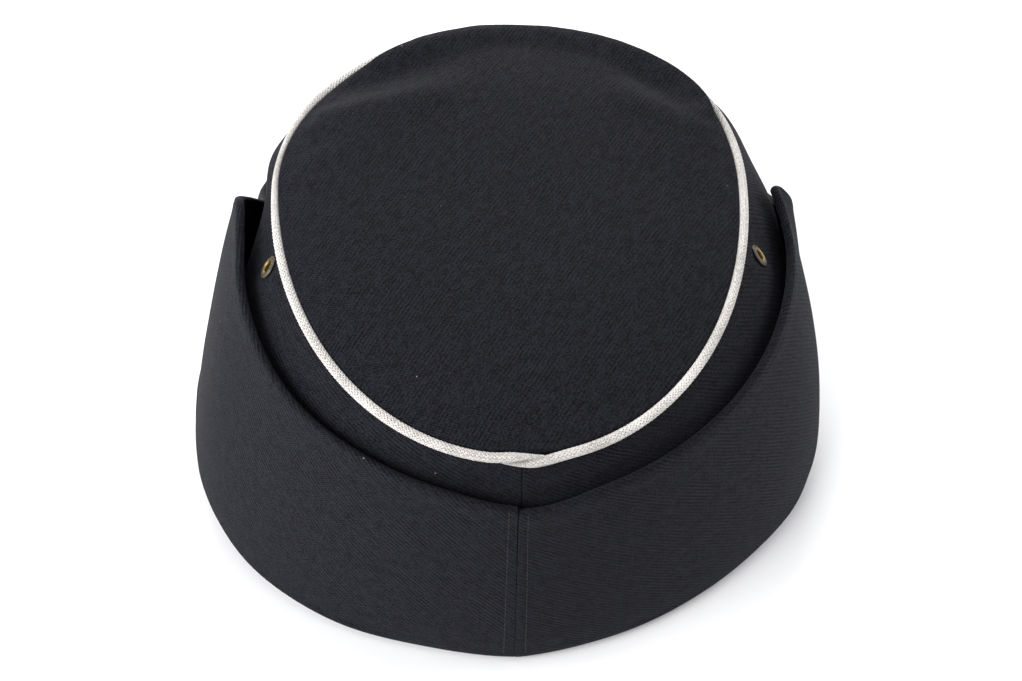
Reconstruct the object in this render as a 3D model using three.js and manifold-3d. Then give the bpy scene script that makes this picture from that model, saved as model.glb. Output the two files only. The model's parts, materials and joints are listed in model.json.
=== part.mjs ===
// A soft cloth field cap with a turned-up flap, a cord round the crown and a cloth peak, as it lies on a table.
// Sizes are in millimetres. The cap is drawn level in its own frame: +Z up, the peak towards -Y, the wearer's
// left at +X, and the flap's bottom fold at height 0. The finished group is then tipped back on its peak.
// A bearing is an angle in degrees round the cap, 0 at the back, 90 at the left, 180 at the front, -90 at the right.
import * as THREE from "three";
import { mergeVertices } from "three/addons/utils/BufferGeometryUtils.js";
import Module from "manifold-3d";

const wasm = await Module();
wasm.setup();

// Outlines seen from above: half widths, the reaches from the widest line to the back and to the front, and how far
// the outline swells between them at each corner. Skew moves the swell of the rear corners towards the sides.
const FOLD_OUTLINE = {
  left: 93.2,
  right: 94.8,
  rear: 91,
  front: 114,
  widestY: 12,
  swell: { rearLeft: 2.9, rearRight: -2.2, frontLeft: 0, frontRight: -1 },
  skew: { left: 1.3, right: 1.5 },
};
const SEAM_OUTLINE = {
  left: 63.5,
  right: 63.5,
  rear: 84.9,
  front: 53,
  widestY: -2,
  swell: { rearLeft: 0.4, rearRight: 0.4, frontLeft: -1, frontRight: 2 },
  skew: { left: 0, right: 0 },
};

// The crown's seam slopes down to the back.
const SEAM_HEIGHT = 80.2;
const SEAM_SLOPE = 0.131;

// Cloth and seams.
const GAP = 0.3;
const CROWN_SEAT = 0.5;
const CROWN_CLOTH = 2;
const FLAP_CLOTH = 2.6;
const CROWN_INSET = 6;
const CROWN_FOOT = FLAP_CLOTH + CROWN_SEAT;
const FOLD_RADIUS = 3.4;
const CROWN_LEAN = { left: 0.5, right: 0.35, power: 4 };
// Places beside the front where the crown's wall stands out, or is sunk in if the distance is below 0: the middle
// and half width of each round the cap and up the wall. A band under the seam is held in place.
const CROWN_BULGES = [
  { bearing: 119, width: 15, level: 0.9, height: 0.12, out: 1.8 },
  { bearing: 106, width: 12, level: 0.62, height: 0.21, out: -6.5 },
  { bearing: -120, width: 17, level: 0.84, height: 0.17, out: 4 },
];
const BULGE_SEAM_BAND = 0.12;
const FLAP_LEAN_POWER = { left: 1.25, right: 1.6 };
const TOP_PUFF = 6;
const TOP_PUFF_POWER = 4;
const TOP_RINGS = [0, 0.28, 0.5, 0.66, 0.78, 0.87, 0.935, 0.975, 1];
// Round the front the top panel rolls out over its seam.
const TOP_ROLL = { leftStart: 126, rightStart: 108, rampAngle: 24, crest: 0.975, fall: 0.16 };
const TOP_ROLL_SIZE = { height: 2.6, outerOverhang: 0.9, innerOverhang: -0.6 };

// The flap: rim height over the fold, and how far its inner face stands off the crown, at each side.
const FLAP_RIM = [
  { bearing: 0, leftHeight: 58.9, rightHeight: 58.9, leftGap: 2.6, rightGap: 2.6 },
  { bearing: 15, leftHeight: 61.5, rightHeight: 61.7, leftGap: 2.5, rightGap: 2.6 },
  { bearing: 30, leftHeight: 62.9, rightHeight: 62.9, leftGap: 2.5, rightGap: 2.6 },
  { bearing: 45, leftHeight: 63.7, rightHeight: 63.4, leftGap: 3, rightGap: 2.8 },
  { bearing: 60, leftHeight: 65.3, rightHeight: 64.6, leftGap: 3.6, rightGap: 3.2 },
  { bearing: 75, leftHeight: 68.8, rightHeight: 66.4, leftGap: 4.7, rightGap: 3.8 },
  { bearing: 84, leftHeight: 73, rightHeight: 68.4, leftGap: 5.2, rightGap: 4.3 },
  { bearing: 92, leftHeight: 74.8, rightHeight: 72.2, leftGap: 5.6, rightGap: 4.6 },
  { bearing: 97, leftHeight: 71.8, rightHeight: 73.4, leftGap: 5.2, rightGap: 4.4 },
  { bearing: 103, leftHeight: 65, rightHeight: 59, leftGap: 3.4, rightGap: 4 },
  { bearing: 110, leftHeight: 55, rightHeight: 48, leftGap: 1.4, rightGap: 3.2 },
  { bearing: 122, leftHeight: 40.5, rightHeight: 40.5, leftGap: 1.6, rightGap: 2.2 },
  { bearing: 150, leftHeight: 38.4, rightHeight: 38.4, leftGap: 1.5, rightGap: 1.5 },
  { bearing: 180, leftHeight: 38, rightHeight: 38, leftGap: 1.4, rightGap: 1.4 },
];
// At the front the left end laps over the right end, and two buttons close them.
const LAP_LENGTH = 14;
const LAP_START = 0.7;
const LAP_RAMP_START = 148;
const LAP_RAMP_END = 168;
const LAP_OFFSET = FLAP_CLOTH + 0.7;
const LAP_FOOT_CLEARANCE = 0.6;
const LAP_TUCK = 0.8;

// Soft folds in the top panel: centre, direction from +X, half length, half width and height.
const TOP_FOLDS = [
  { x: 32, y: -30, angle: 8, halfLength: 20, halfWidth: 6, height: 1.4 },
  { x: 20, y: -42, angle: 10, halfLength: 16, halfWidth: 6, height: -1.2 },
  { x: -42, y: -24, angle: -30, halfLength: 18, halfWidth: 6, height: 1.5 },
  { x: -36, y: -38, angle: -30, halfLength: 14, halfWidth: 6, height: -1.2 },
];

// The cord round the crown, whose two ends cross at the back.
const CORD_RADIUS = 1.4;
const CORD_SEAT = 0.36;
const CORD_STEPS = 96;
const CORD_SIDES = 10;
const CORD_HEIGHT = 1.2;
const CORD_OVERLAP = 5;
const CORD_BLEND = 13;
const CORD_UPPER_TURN = 62;
const CORD_LOWER_END = { out: 1.95, up: -0.1 };

// Vent eyelets in the crown's sides.
const EYELET_BEARING = { left: 79, right: 80 };
const EYELET_LEVEL = { left: 0.925, right: 0.9 };
const EYELET_BORE_RADIUS = 1.7;
const EYELET_BARREL_RADIUS = 2.2;
const EYELET_FLANGE_RADIUS = 3.7;
const EYELET_FLANGE_HEIGHT = 0.7;
const EYELET_SEAT = 0.45;
const EYELET_SIDES = 16;

// Front buttons.
const BUTTON_HEIGHTS = [12.5, 27.5];
const BUTTON_RADIUS = 6;
const BUTTON_DOME = 2.6;
const BUTTON_SHANK_RADIUS = 1.5;
const BUTTON_HOLE_RADIUS = 2;
const BUTTON_SEAT = 0.45;
const BUTTON_SIDES = 20;

// The peak: a stiff cloth-covered crescent sewn under the front of the fold.
const PEAK_HALF_ANGLE = 53;
const PEAK_REACH = 60;
const PEAK_REACH_POWER = 0.62;
const PEAK_FAN = 0.1;
const PEAK_CLOTH = 3;
const PEAK_ROOT_INSET = 8;
const PEAK_BEND_OFFSET = 3.8;
const PEAK_BOW = 2.2;
const PEAK_LIFT_START = 0.5;
const PEAK_SHORTEST = 1.5;

// How the cap lies: tipped back on the peak's edge, with the back of the fold pressed flat.
const TILT = THREE.MathUtils.degToRad(6.5);
const FLOOR_CONTACT_Y = 95;
const CENTRE_SHIFT = { x: 0.8, y: 32.55 };

// Mesh steps.
const BEARING_STEPS = 26;
const WALL_STEPS = 8;
const FLAP_SPANS = [
  { from: 0, to: 84, count: 12 },
  { from: 84, to: 114, count: 8 },
  { from: 114, to: 180 - LAP_START, count: 9 },
];
const FLAP_WALL_STEPS = 8;
const FOLD_STEPS = 3;
const PEAK_STEPS = 24;
const PEAK_ROWS = 5;

const { degToRad, lerp, smoothstep } = THREE.MathUtils;

// Evenly spaced shares from 0 to 1.
const steps = (count) => Array.from({ length: count + 1 }, (_, i) => i / count);

// A column of a table at a bearing, on a smooth curve through its rows.
function lookUp(table, bearing, column) {
  const at = Math.min(Math.abs(bearing), table.at(-1).bearing);
  const upper = Math.max(1, table.findIndex((row) => row.bearing >= at));
  const rows = [upper - 2, upper - 1, upper, upper + 1].map(
    (i) => table[THREE.MathUtils.clamp(i, 0, table.length - 1)],
  );
  const [before, start, end, after] = rows;
  const span = end.bearing - start.bearing;
  const slope = (a, b) => (b === a ? 0 : (b[column] - a[column]) / (b.bearing - a.bearing)) * span;
  const t = (at - start.bearing) / span;
  const startSlope = slope(before, end);
  const endSlope = slope(start, after);
  return (
    start[column] * (1 + 2 * t) * (1 - t) ** 2 +
    startSlope * t * (1 - t) ** 2 +
    end[column] * t * t * (3 - 2 * t) -
    endSlope * t * t * (1 - t)
  );
}

// A bearing brought between -180 and 180.
function signedBearing(bearing) {
  return THREE.MathUtils.euclideanModulo(bearing + 180, 360) - 180;
}

// One of the left and right values of a set, by the side that a bearing is on.
function bySide(bearing, left, right) {
  return bearing >= 0 && bearing <= 180 ? left : right;
}

// A value that passes smoothly from its left size to its right size round the cap.
function blendSides(bearing, size) {
  return lerp(size.right, size.left, (1 + Math.sin(degToRad(bearing))) / 2);
}

// The level unit vector that points out of an outline at a bearing.
function outward(outline, bearing) {
  const angle = degToRad(bearing);
  const halfWidth = bySide(bearing, outline.left, outline.right);
  const reach = Math.cos(angle) > 0 ? outline.rear : outline.front;
  return new THREE.Vector3(reach * Math.sin(angle), halfWidth * Math.cos(angle), 0).normalize();
}

// The point of an outline at a bearing, drawn in by an inset.
function outlinePoint(outline, bearing, inset = 0) {
  const angle = degToRad(bearing);
  const atRear = Math.cos(angle) > 0;
  const { rearLeft, rearRight, frontLeft, frontRight } = outline.swell;
  const halfWidth = bySide(bearing, outline.left, outline.right) - inset;
  const reach = (atRear ? outline.rear : outline.front) - inset;
  const swell = atRear ? bySide(bearing, rearLeft, rearRight) : bySide(bearing, frontLeft, frontRight);
  const skew = atRear ? bySide(bearing, outline.skew.left, outline.skew.right) * Math.sin(4 * Math.abs(angle)) : 0;
  const point = new THREE.Vector3(halfWidth * Math.sin(angle), outline.widestY + reach * Math.cos(angle), 0);
  return point.addScaledVector(outward(outline, bearing), swell * Math.sin(2 * angle) ** 2 - skew);
}

// Height of the surface in which the crown's seam lies.
function seamHeight(y) {
  return SEAM_HEIGHT - SEAM_SLOPE * (y - SEAM_OUTLINE.widestY);
}

// Height of the table's plane under the level cap.
function floorHeight(y) {
  return (y - FLOOR_CONTACT_Y) * Math.tan(TILT);
}

// A point of the crown's wall: level 0 at its foot and 1 at the seam, depth 0 on its outer face.
function wallPoint(bearing, level, depth = 0) {
  const foot = outlinePoint(FOLD_OUTLINE, bearing, CROWN_INSET);
  const seam = outlinePoint(SEAM_OUTLINE, bearing);
  const share = blendSides(bearing, CROWN_LEAN);
  const point = foot.lerp(seam, share * level + (1 - share) * level ** CROWN_LEAN.power);
  point.addScaledVector(outward(SEAM_OUTLINE, bearing), crownBulge(bearing, level) - depth);
  point.z = lerp(CROWN_FOOT, seamHeight(point.y), level);
  return point;
}

// How far the wall stands out of its plain shape at a bearing and level.
function crownBulge(bearing, level) {
  const held = smoothstep(1 - level, 0, BULGE_SEAM_BAND);
  return CROWN_BULGES.reduce((sum, place) => {
    const round = (bearing - place.bearing) / place.width;
    const rise = (level - place.level) / place.height;
    return sum + place.out * held * Math.exp(-round * round - rise * rise);
  }, 0);
}

// The wall's level at a height over the fold.
function wallLevel(bearing, height) {
  return (height - CROWN_FOOT) / (seamHeight(outlinePoint(SEAM_OUTLINE, bearing).y) - CROWN_FOOT);
}

// The outer point of the flap's rim at a bearing.
function rimPoint(bearing) {
  const height = lookUp(FLAP_RIM, bearing, bySide(bearing, "leftHeight", "rightHeight"));
  const gap = lookUp(FLAP_RIM, bearing, bySide(bearing, "leftGap", "rightGap"));
  const point = wallPoint(bearing, wallLevel(bearing, height));
  point.addScaledVector(outward(FOLD_OUTLINE, bearing), gap + FLAP_CLOTH);
  point.z = height;
  return point;
}

// A closed mesh from an outer and an inner grid of points of the same size, given as rows of points.
// With wrap, each row closes on itself. Rows may shrink to one point, as at the middle of a disc.
function thickSheet(outer, inner, wrap = false) {
  const rows = outer.length;
  const columns = outer[0].length;
  const points = [...outer.flat(), ...inner.flat()];
  const half = rows * columns;
  const at = (sheet, i, j) => sheet * half + i * columns + (j % columns);
  const triangles = [];
  const quad = (a, b, c, d) => triangles.push([a, b, c], [a, c, d]);
  const spans = wrap ? columns : columns - 1;
  for (let j = 0; j < spans; j++) {
    for (let i = 0; i < rows - 1; i++) {
      quad(at(0, i, j), at(0, i, j + 1), at(0, i + 1, j + 1), at(0, i + 1, j));
      quad(at(1, i, j), at(1, i + 1, j), at(1, i + 1, j + 1), at(1, i, j + 1));
    }
    quad(at(0, 0, j), at(1, 0, j), at(1, 0, j + 1), at(0, 0, j + 1));
    quad(at(0, rows - 1, j), at(0, rows - 1, j + 1), at(1, rows - 1, j + 1), at(1, rows - 1, j));
  }
  for (let i = 0; i < rows - 1 && !wrap; i++) {
    quad(at(0, i, 0), at(0, i + 1, 0), at(1, i + 1, 0), at(1, i, 0));
    quad(at(0, i, spans), at(1, i, spans), at(1, i + 1, spans), at(0, i + 1, spans));
  }
  return closedGeometry(points, triangles);
}

// A geometry whose shared points are merged and whose faces point outwards.
function closedGeometry(points, triangles) {
  const loose = new THREE.BufferGeometry().setFromPoints(points);
  loose.setIndex(triangles.flat());
  const merged = mergeVertices(loose, 1e-3);
  const index = merged.index.array;
  const kept = [];
  for (let i = 0; i < index.length; i += 3) {
    const [a, b, c] = index.slice(i, i + 3);
    if (a !== b && b !== c && a !== c) kept.push([a, b, c]);
  }
  const corner = (k) => new THREE.Vector3().fromBufferAttribute(merged.attributes.position, k);
  const volume = kept.reduce((sum, [a, b, c]) => sum + corner(a).dot(corner(b).cross(corner(c))), 0);
  merged.setIndex((volume < 0 ? kept.map(([a, b, c]) => [a, c, b]) : kept).flat());
  merged.computeVertexNormals();
  return merged;
}

// A boolean cut of one closed geometry by others.
function cut(geometry, ...tools) {
  const solid = (source) => {
    const bare = source.clone();
    bare.deleteAttribute("normal");
    bare.deleteAttribute("uv");
    const merged = mergeVertices(bare, 1e-3);
    const vertProperties = merged.attributes.position.array;
    const triVerts = new Uint32Array(merged.index.array);
    return new wasm.Manifold(new wasm.Mesh({ numProp: 3, vertProperties, triVerts }));
  };
  const result = tools.reduce((rest, tool) => rest.subtract(solid(tool)), solid(geometry)).getMesh();
  const made = new THREE.BufferGeometry();
  made.setAttribute("position", new THREE.BufferAttribute(result.vertProperties, 3));
  made.setIndex(new THREE.BufferAttribute(result.triVerts, 1));
  made.computeVertexNormals();
  return made;
}

// A matrix that takes a lathe's axis to a direction at a point.
function seatedAt(point, direction) {
  const turn = new THREE.Quaternion().setFromUnitVectors(new THREE.Vector3(0, 1, 0), direction);
  return new THREE.Matrix4().compose(point, turn, new THREE.Vector3(1, 1, 1));
}

// The top panel: a puffed oval with soft folds near the front.
function crownTop() {
  const centre = new THREE.Vector3(0, SEAM_OUTLINE.widestY, 0);
  const bearings = steps(2 * BEARING_STEPS).slice(0, -1).map((t) => lerp(-180, 180, t));
  const sheet = (depth, overhang) =>
    TOP_RINGS.map((radius) =>
      bearings.map((bearing) => {
        const point = centre.clone().lerp(outlinePoint(SEAM_OUTLINE, bearing), radius);
        const roll = topRoll(bearing, radius);
        const edge = 1 - radius ** TOP_PUFF_POWER;
        point.z = seamHeight(point.y) + GAP + CROWN_CLOTH - depth;
        point.z += edge * TOP_PUFF + Math.min(1, 4 * edge) * topFold(point) + roll * TOP_ROLL_SIZE.height;
        return point.addScaledVector(outward(SEAM_OUTLINE, bearing), roll * overhang);
      }),
    );
  return thickSheet(
    sheet(0, TOP_ROLL_SIZE.outerOverhang),
    sheet(CROWN_CLOTH, TOP_ROLL_SIZE.innerOverhang),
    true,
  );
}

// How much of the front roll the top panel has, at a bearing and a share of the way from its middle to its edge.
function topRoll(bearing, radius) {
  const start = bySide(bearing, TOP_ROLL.leftStart, TOP_ROLL.rightStart);
  const round = smoothstep(Math.abs(bearing), start, start + TOP_ROLL.rampAngle);
  const rise = smoothstep(radius, TOP_ROLL.crest - TOP_ROLL.fall, TOP_ROLL.crest);
  return round * (radius > TOP_ROLL.crest ? (1 - radius) / (1 - TOP_ROLL.crest) : rise);
}

// How far the folds raise or sink the top panel at a point.
function topFold(point) {
  return TOP_FOLDS.reduce((sum, fold) => {
    const offset = new THREE.Vector2(point.x - fold.x, point.y - fold.y);
    offset.rotateAround(new THREE.Vector2(), -degToRad(fold.angle));
    const reach = (offset.x / fold.halfLength) ** 2 + (offset.y / fold.halfWidth) ** 2;
    return sum + fold.height * Math.exp(-reach);
  }, 0);
}

// One side of the crown's wall, from the back seam to the front seam, with its eyelet's hole.
function crownSide(side) {
  const sheet = (depth) =>
    steps(WALL_STEPS).map((level) =>
      steps(BEARING_STEPS).map((t) => {
        const point = wallPoint(side * t * 180, level, depth);
        point.x = side * Math.max(side * point.x, GAP / 2);
        return point;
      }),
    );
  const { point, direction } = eyeletSeat(side);
  const drill = new THREE.CylinderGeometry(EYELET_BARREL_RADIUS + GAP, EYELET_BARREL_RADIUS + GAP, 20, EYELET_SIDES);
  return cut(thickSheet(sheet(0), sheet(CROWN_CLOTH)), drill.applyMatrix4(seatedAt(point, direction)));
}

// Where an eyelet sits on the wall, and the way it faces.
function eyeletSeat(side) {
  const bearing = side * bySide(side, EYELET_BEARING.left, EYELET_BEARING.right);
  const level = bySide(side, EYELET_LEVEL.left, EYELET_LEVEL.right);
  const step = { bearing: 4, level: 0.05 };
  const point = wallPoint(bearing, level);
  const along = wallPoint(bearing + step.bearing, level).sub(wallPoint(bearing - step.bearing, level));
  const up = wallPoint(bearing, level + step.level).sub(wallPoint(bearing, level - step.level));
  const direction = along.cross(up).normalize();
  return { point, direction: direction.x * side < 0 ? direction.negate() : direction };
}

// A vent eyelet: a domed flange outside, a barrel through the cloth, and a rolled flange inside.
function ventEyelet(side) {
  const outer = EYELET_SEAT;
  const inner = -CROWN_CLOTH - EYELET_SEAT;
  const profile = [
    [EYELET_BORE_RADIUS, inner - EYELET_FLANGE_HEIGHT],
    [EYELET_FLANGE_RADIUS - 0.4, inner - EYELET_FLANGE_HEIGHT],
    [EYELET_FLANGE_RADIUS - 0.2, inner],
    [EYELET_BARREL_RADIUS, inner],
    [EYELET_BARREL_RADIUS, outer],
    [EYELET_FLANGE_RADIUS, outer],
    [EYELET_FLANGE_RADIUS - 0.3, outer + 0.6 * EYELET_FLANGE_HEIGHT],
    [lerp(EYELET_BORE_RADIUS, EYELET_FLANGE_RADIUS, 0.45), outer + EYELET_FLANGE_HEIGHT],
    [EYELET_BORE_RADIUS, outer + 0.4 * EYELET_FLANGE_HEIGHT],
    [EYELET_BORE_RADIUS, inner - EYELET_FLANGE_HEIGHT],
  ].map(([radius, height]) => new THREE.Vector2(radius, height));
  const { point, direction } = eyeletSeat(side);
  return new THREE.LatheGeometry(profile, EYELET_SIDES).applyMatrix4(seatedAt(point, direction));
}

// One half of the flap. Its foot runs under the crown's wall, turns up in a fold and ends at the rim.
// Past the front seam it goes on as a lap without a foot, outside the crown and, on the left, outside the other half.
function flap(side) {
  const lapAngle = THREE.MathUtils.radToDeg(LAP_LENGTH / FOLD_OUTLINE.left);
  const footed = FLAP_SPANS.flatMap((span) => steps(span.count).slice(1).map((t) => lerp(span.from, span.to, t)));
  const bearings = [0, ...footed, 180 - 0.2 * LAP_START, 180 + lapAngle / 2, 180 + lapAngle];
  const columns = bearings.map((bearing) => flapProfile(side, bearing));
  const sheet = (key) => columns[0][key].map((_, i) => columns.map((column) => column[key][i]));
  const made = thickSheet(sheet("outer"), sheet("inner"));
  return side > 0 ? cut(made, ...BUTTON_HEIGHTS.map(buttonHole)) : made;
}

// A point of the flap's wall at a height over the fold, depth 0 on its outer face.
function flapPoint(bearing, height, depth) {
  const rim = rimPoint(bearing);
  const share = Math.max(0, (height - FOLD_RADIUS) / (rim.z - FOLD_RADIUS));
  const power = blendSides(bearing, FLAP_LEAN_POWER);
  const point = outlinePoint(FOLD_OUTLINE, bearing).lerp(rim, share ** power);
  return point.addScaledVector(outward(FOLD_OUTLINE, bearing), -depth).setZ(height);
}

// The outer and inner points of the flap's section at a bearing, from the foot to the rim.
function flapProfile(side, bearing) {
  const hasFoot = bearing <= 180 - LAP_START;
  const at = signedBearing(side * bearing);
  const spread = side > 0 ? LAP_OFFSET * smoothstep(bearing, LAP_RAMP_START, LAP_RAMP_END) : 0;
  const top = rimPoint(at).z - (side > 0 ? 0 : LAP_TUCK);
  const outer = [];
  const inner = [];
  const addPair = (outerInset, outerHeight, innerInset, innerHeight) => {
    const out = outward(FOLD_OUTLINE, at);
    const edge = outlinePoint(FOLD_OUTLINE, at).addScaledVector(out, spread);
    outer.push(edge.clone().addScaledVector(out, -outerInset).setZ(outerHeight));
    inner.push(edge.clone().addScaledVector(out, -innerInset).setZ(innerHeight));
  };
  const bottom = side > 0 ? GAP : FLAP_CLOTH + LAP_FOOT_CLEARANCE;
  if (hasFoot) {
    const footInset = CROWN_INSET + CROWN_CLOTH + spread;
    addPair(footInset, 0, footInset, FLAP_CLOTH);
  } else {
    addPair(0, bottom, FLAP_CLOTH, bottom);
  }
  steps(FOLD_STEPS).forEach((t) => {
    const across = 1 - Math.sin((t * Math.PI) / 2);
    const up = 1 - Math.cos((t * Math.PI) / 2);
    const bore = FOLD_RADIUS - FLAP_CLOTH;
    if (hasFoot) addPair(FOLD_RADIUS * across, FOLD_RADIUS * up, FLAP_CLOTH + bore * across, FLAP_CLOTH + bore * up);
    else addPair(0, bottom, FLAP_CLOTH, bottom);
  });
  const start = hasFoot ? FOLD_RADIUS : bottom;
  steps(FLAP_WALL_STEPS).slice(1).forEach((t) => {
    outer.push(flapPoint(at, lerp(start, top, t), -spread));
    inner.push(flapPoint(at, lerp(start, top, t), FLAP_CLOTH - spread));
  });
  const settle = (point) => {
    const x = bearing > 180 ? point.x : side * Math.max(side * point.x, GAP / 2);
    return new THREE.Vector3(x, point.y, Math.max(point.z, floorHeight(point.y)));
  };
  return { outer: outer.map(settle), inner: inner.map(settle) };
}

// Where a front button sits on the lap, and the way it faces.
function buttonSeat(height) {
  const point = flapPoint(180, height, -LAP_OFFSET);
  const rise = flapPoint(180, height + 1, 0).sub(flapPoint(180, height - 1, 0));
  const direction = new THREE.Vector3(0, -rise.z, rise.y).normalize();
  return { point, direction };
}

function buttonHole(height) {
  const { point, direction } = buttonSeat(height);
  const depth = 2 * FLAP_CLOTH + 1;
  const drill = new THREE.CylinderGeometry(BUTTON_HOLE_RADIUS, BUTTON_HOLE_RADIUS, depth, BUTTON_SIDES);
  return drill.applyMatrix4(seatedAt(point, direction));
}

// A front button: a shallow dome with a rim and a shank through the buttonhole.
function frontButton(height) {
  const profile = [
    [0, -FLAP_CLOTH],
    [BUTTON_SHANK_RADIUS, -FLAP_CLOTH],
    [BUTTON_SHANK_RADIUS, BUTTON_SEAT],
    [BUTTON_RADIUS - 0.8, BUTTON_SEAT],
    [BUTTON_RADIUS, BUTTON_SEAT + 0.5],
    [BUTTON_RADIUS - 0.2, BUTTON_SEAT + 1.1],
    [BUTTON_RADIUS * 0.78, BUTTON_SEAT + 0.66 * BUTTON_DOME],
    [BUTTON_RADIUS * 0.45, BUTTON_SEAT + 0.92 * BUTTON_DOME],
    [0, BUTTON_SEAT + BUTTON_DOME],
  ].map(([radius, along]) => new THREE.Vector2(radius, along));
  const { point, direction } = buttonSeat(height);
  return new THREE.LatheGeometry(profile, BUTTON_SIDES).applyMatrix4(seatedAt(point, direction));
}

// The cord: it starts low at the left of the back seam, goes round by the right and ends high at the right.
function cord() {
  const points = steps(CORD_STEPS).map((t) => {
    const bearing = lerp(CORD_OVERLAP, -360 - CORD_OVERLAP, t);
    const fromStart = CORD_OVERLAP - bearing;
    const fromEnd = bearing + 360 + CORD_OVERLAP;
    const lower = 1 - smoothstep(fromStart, CORD_OVERLAP, CORD_BLEND + CORD_OVERLAP);
    const upper = 1 - smoothstep(fromEnd, CORD_OVERLAP, CORD_BLEND + CORD_OVERLAP);
    const wrapped = signedBearing(bearing);
    const edge = new THREE.Vector2(0, CROWN_CLOTH + GAP);
    const offset = new THREE.Vector2(CORD_RADIUS + CORD_SEAT, CORD_HEIGHT);
    offset.rotateAround(edge, degToRad(upper * CORD_UPPER_TURN));
    offset.lerp(new THREE.Vector2(CORD_LOWER_END.out, CORD_LOWER_END.up), lower);
    const seam = outlinePoint(SEAM_OUTLINE, wrapped);
    const height = seamHeight(seam.y) + offset.y;
    return seam.addScaledVector(outward(SEAM_OUTLINE, wrapped), offset.x).setZ(height);
  });
  const section = new THREE.Shape();
  section.absarc(0, 0, CORD_RADIUS, 0, 2 * Math.PI);
  return new THREE.ExtrudeGeometry(section, {
    curveSegments: CORD_SIDES / 2,
    steps: CORD_STEPS,
    extrudePath: new THREE.CatmullRomCurve3(points),
  });
}

// The peak: its root lies flat under the fold, and it slopes down to an edge that rests on the table.
function peak() {
  const across = steps(PEAK_STEPS).map((t) => lerp(-1, 1, t));
  const columns = across.map((share) => {
    const bearing = 180 - PEAK_HALF_ANGLE * share;
    const at = signedBearing(bearing);
    const out = outward(FOLD_OUTLINE, at);
    const reach = Math.max(PEAK_SHORTEST, PEAK_REACH * (1 - share * share) ** PEAK_REACH_POWER);
    const forward = new THREE.Vector3(PEAK_FAN * Math.sin(degToRad(at)), -1, 0).normalize();
    const bend = outlinePoint(FOLD_OUTLINE, at).addScaledVector(out, PEAK_BEND_OFFSET);
    const edge = bend.clone().addScaledVector(forward, reach);
    const lift = smoothstep(Math.abs(share), PEAK_LIFT_START, 1);
    const edgeTop = lerp(floorHeight(edge.y) + PEAK_CLOTH, -GAP, lift);
    const root = [PEAK_ROOT_INSET, PEAK_ROOT_INSET / 2].map((inset) => {
      const point = outlinePoint(FOLD_OUTLINE, at, inset);
      return point.setZ(-GAP);
    });
    const slope = steps(PEAK_ROWS).map((s) => {
      const bow = PEAK_BOW * Math.sin(Math.PI * s) * (reach / PEAK_REACH);
      const point = bend.clone().lerp(edge, s);
      return point.setZ(lerp(-GAP, edgeTop, s) + bow * s);
    });
    return [...root, ...slope];
  });
  const sheet = (depth) =>
    columns[0].map((_, i) =>
      columns.map((column) => {
        const point = column[i].clone();
        return point.setZ(Math.max(point.z - depth, floorHeight(point.y)));
      }),
    );
  return thickSheet(sheet(0), sheet(PEAK_CLOTH));
}

const twill = new THREE.MeshStandardMaterial({ color: 0x17181f, roughness: 0.9, metalness: 0 });
const braid = new THREE.MeshStandardMaterial({ color: 0xcfccc4, roughness: 0.5, metalness: 0.35 });
const brass = new THREE.MeshStandardMaterial({ color: 0x8d8064, roughness: 0.45, metalness: 0.8 });
const silver = new THREE.MeshStandardMaterial({ color: 0x9b9a95, roughness: 0.45, metalness: 0.85 });

const cap = new THREE.Group();

function add(name, geometry, material) {
  const mesh = new THREE.Mesh(geometry, material);
  mesh.name = name;
  cap.add(mesh);
}

add("crown_top", crownTop(), twill);
add("crown_side_left", crownSide(1), twill);
add("crown_side_right", crownSide(-1), twill);
add("flap_left", flap(1), twill);
add("flap_right", flap(-1), twill);
add("peak", peak(), twill);
add("crown_piping", cord(), braid);
add("vent_eyelet_left", ventEyelet(1), brass);
add("vent_eyelet_right", ventEyelet(-1), brass);
BUTTON_HEIGHTS.forEach((height, i) => add(`front_button_${i + 1}`, frontButton(height), silver));

cap.rotation.x = -TILT;
cap.position.set(CENTRE_SHIFT.x, CENTRE_SHIFT.y, FLOOR_CONTACT_Y * Math.sin(TILT));

const root = new THREE.Group();
root.add(cap);

export default root;
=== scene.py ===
"""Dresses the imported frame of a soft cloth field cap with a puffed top, a turned-up flap and a crown braid.

Sizes are in millimetres in the level cap's own frame: +Z up, the peak towards -Y, the wearer's left at +X
and the flap's bottom fold at height 0. A bearing is an angle in degrees round the cap, 0 at the back, 90 at
the left, 180 at the front and -90 at the right. CapForm.place takes points to the row frame, in metres.
"""

import json
import logging
import math
from dataclasses import dataclass, field
from enum import Enum
from typing import NamedTuple

import bmesh
import bpy
import numpy as np
from mathutils import Matrix, Vector

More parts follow.
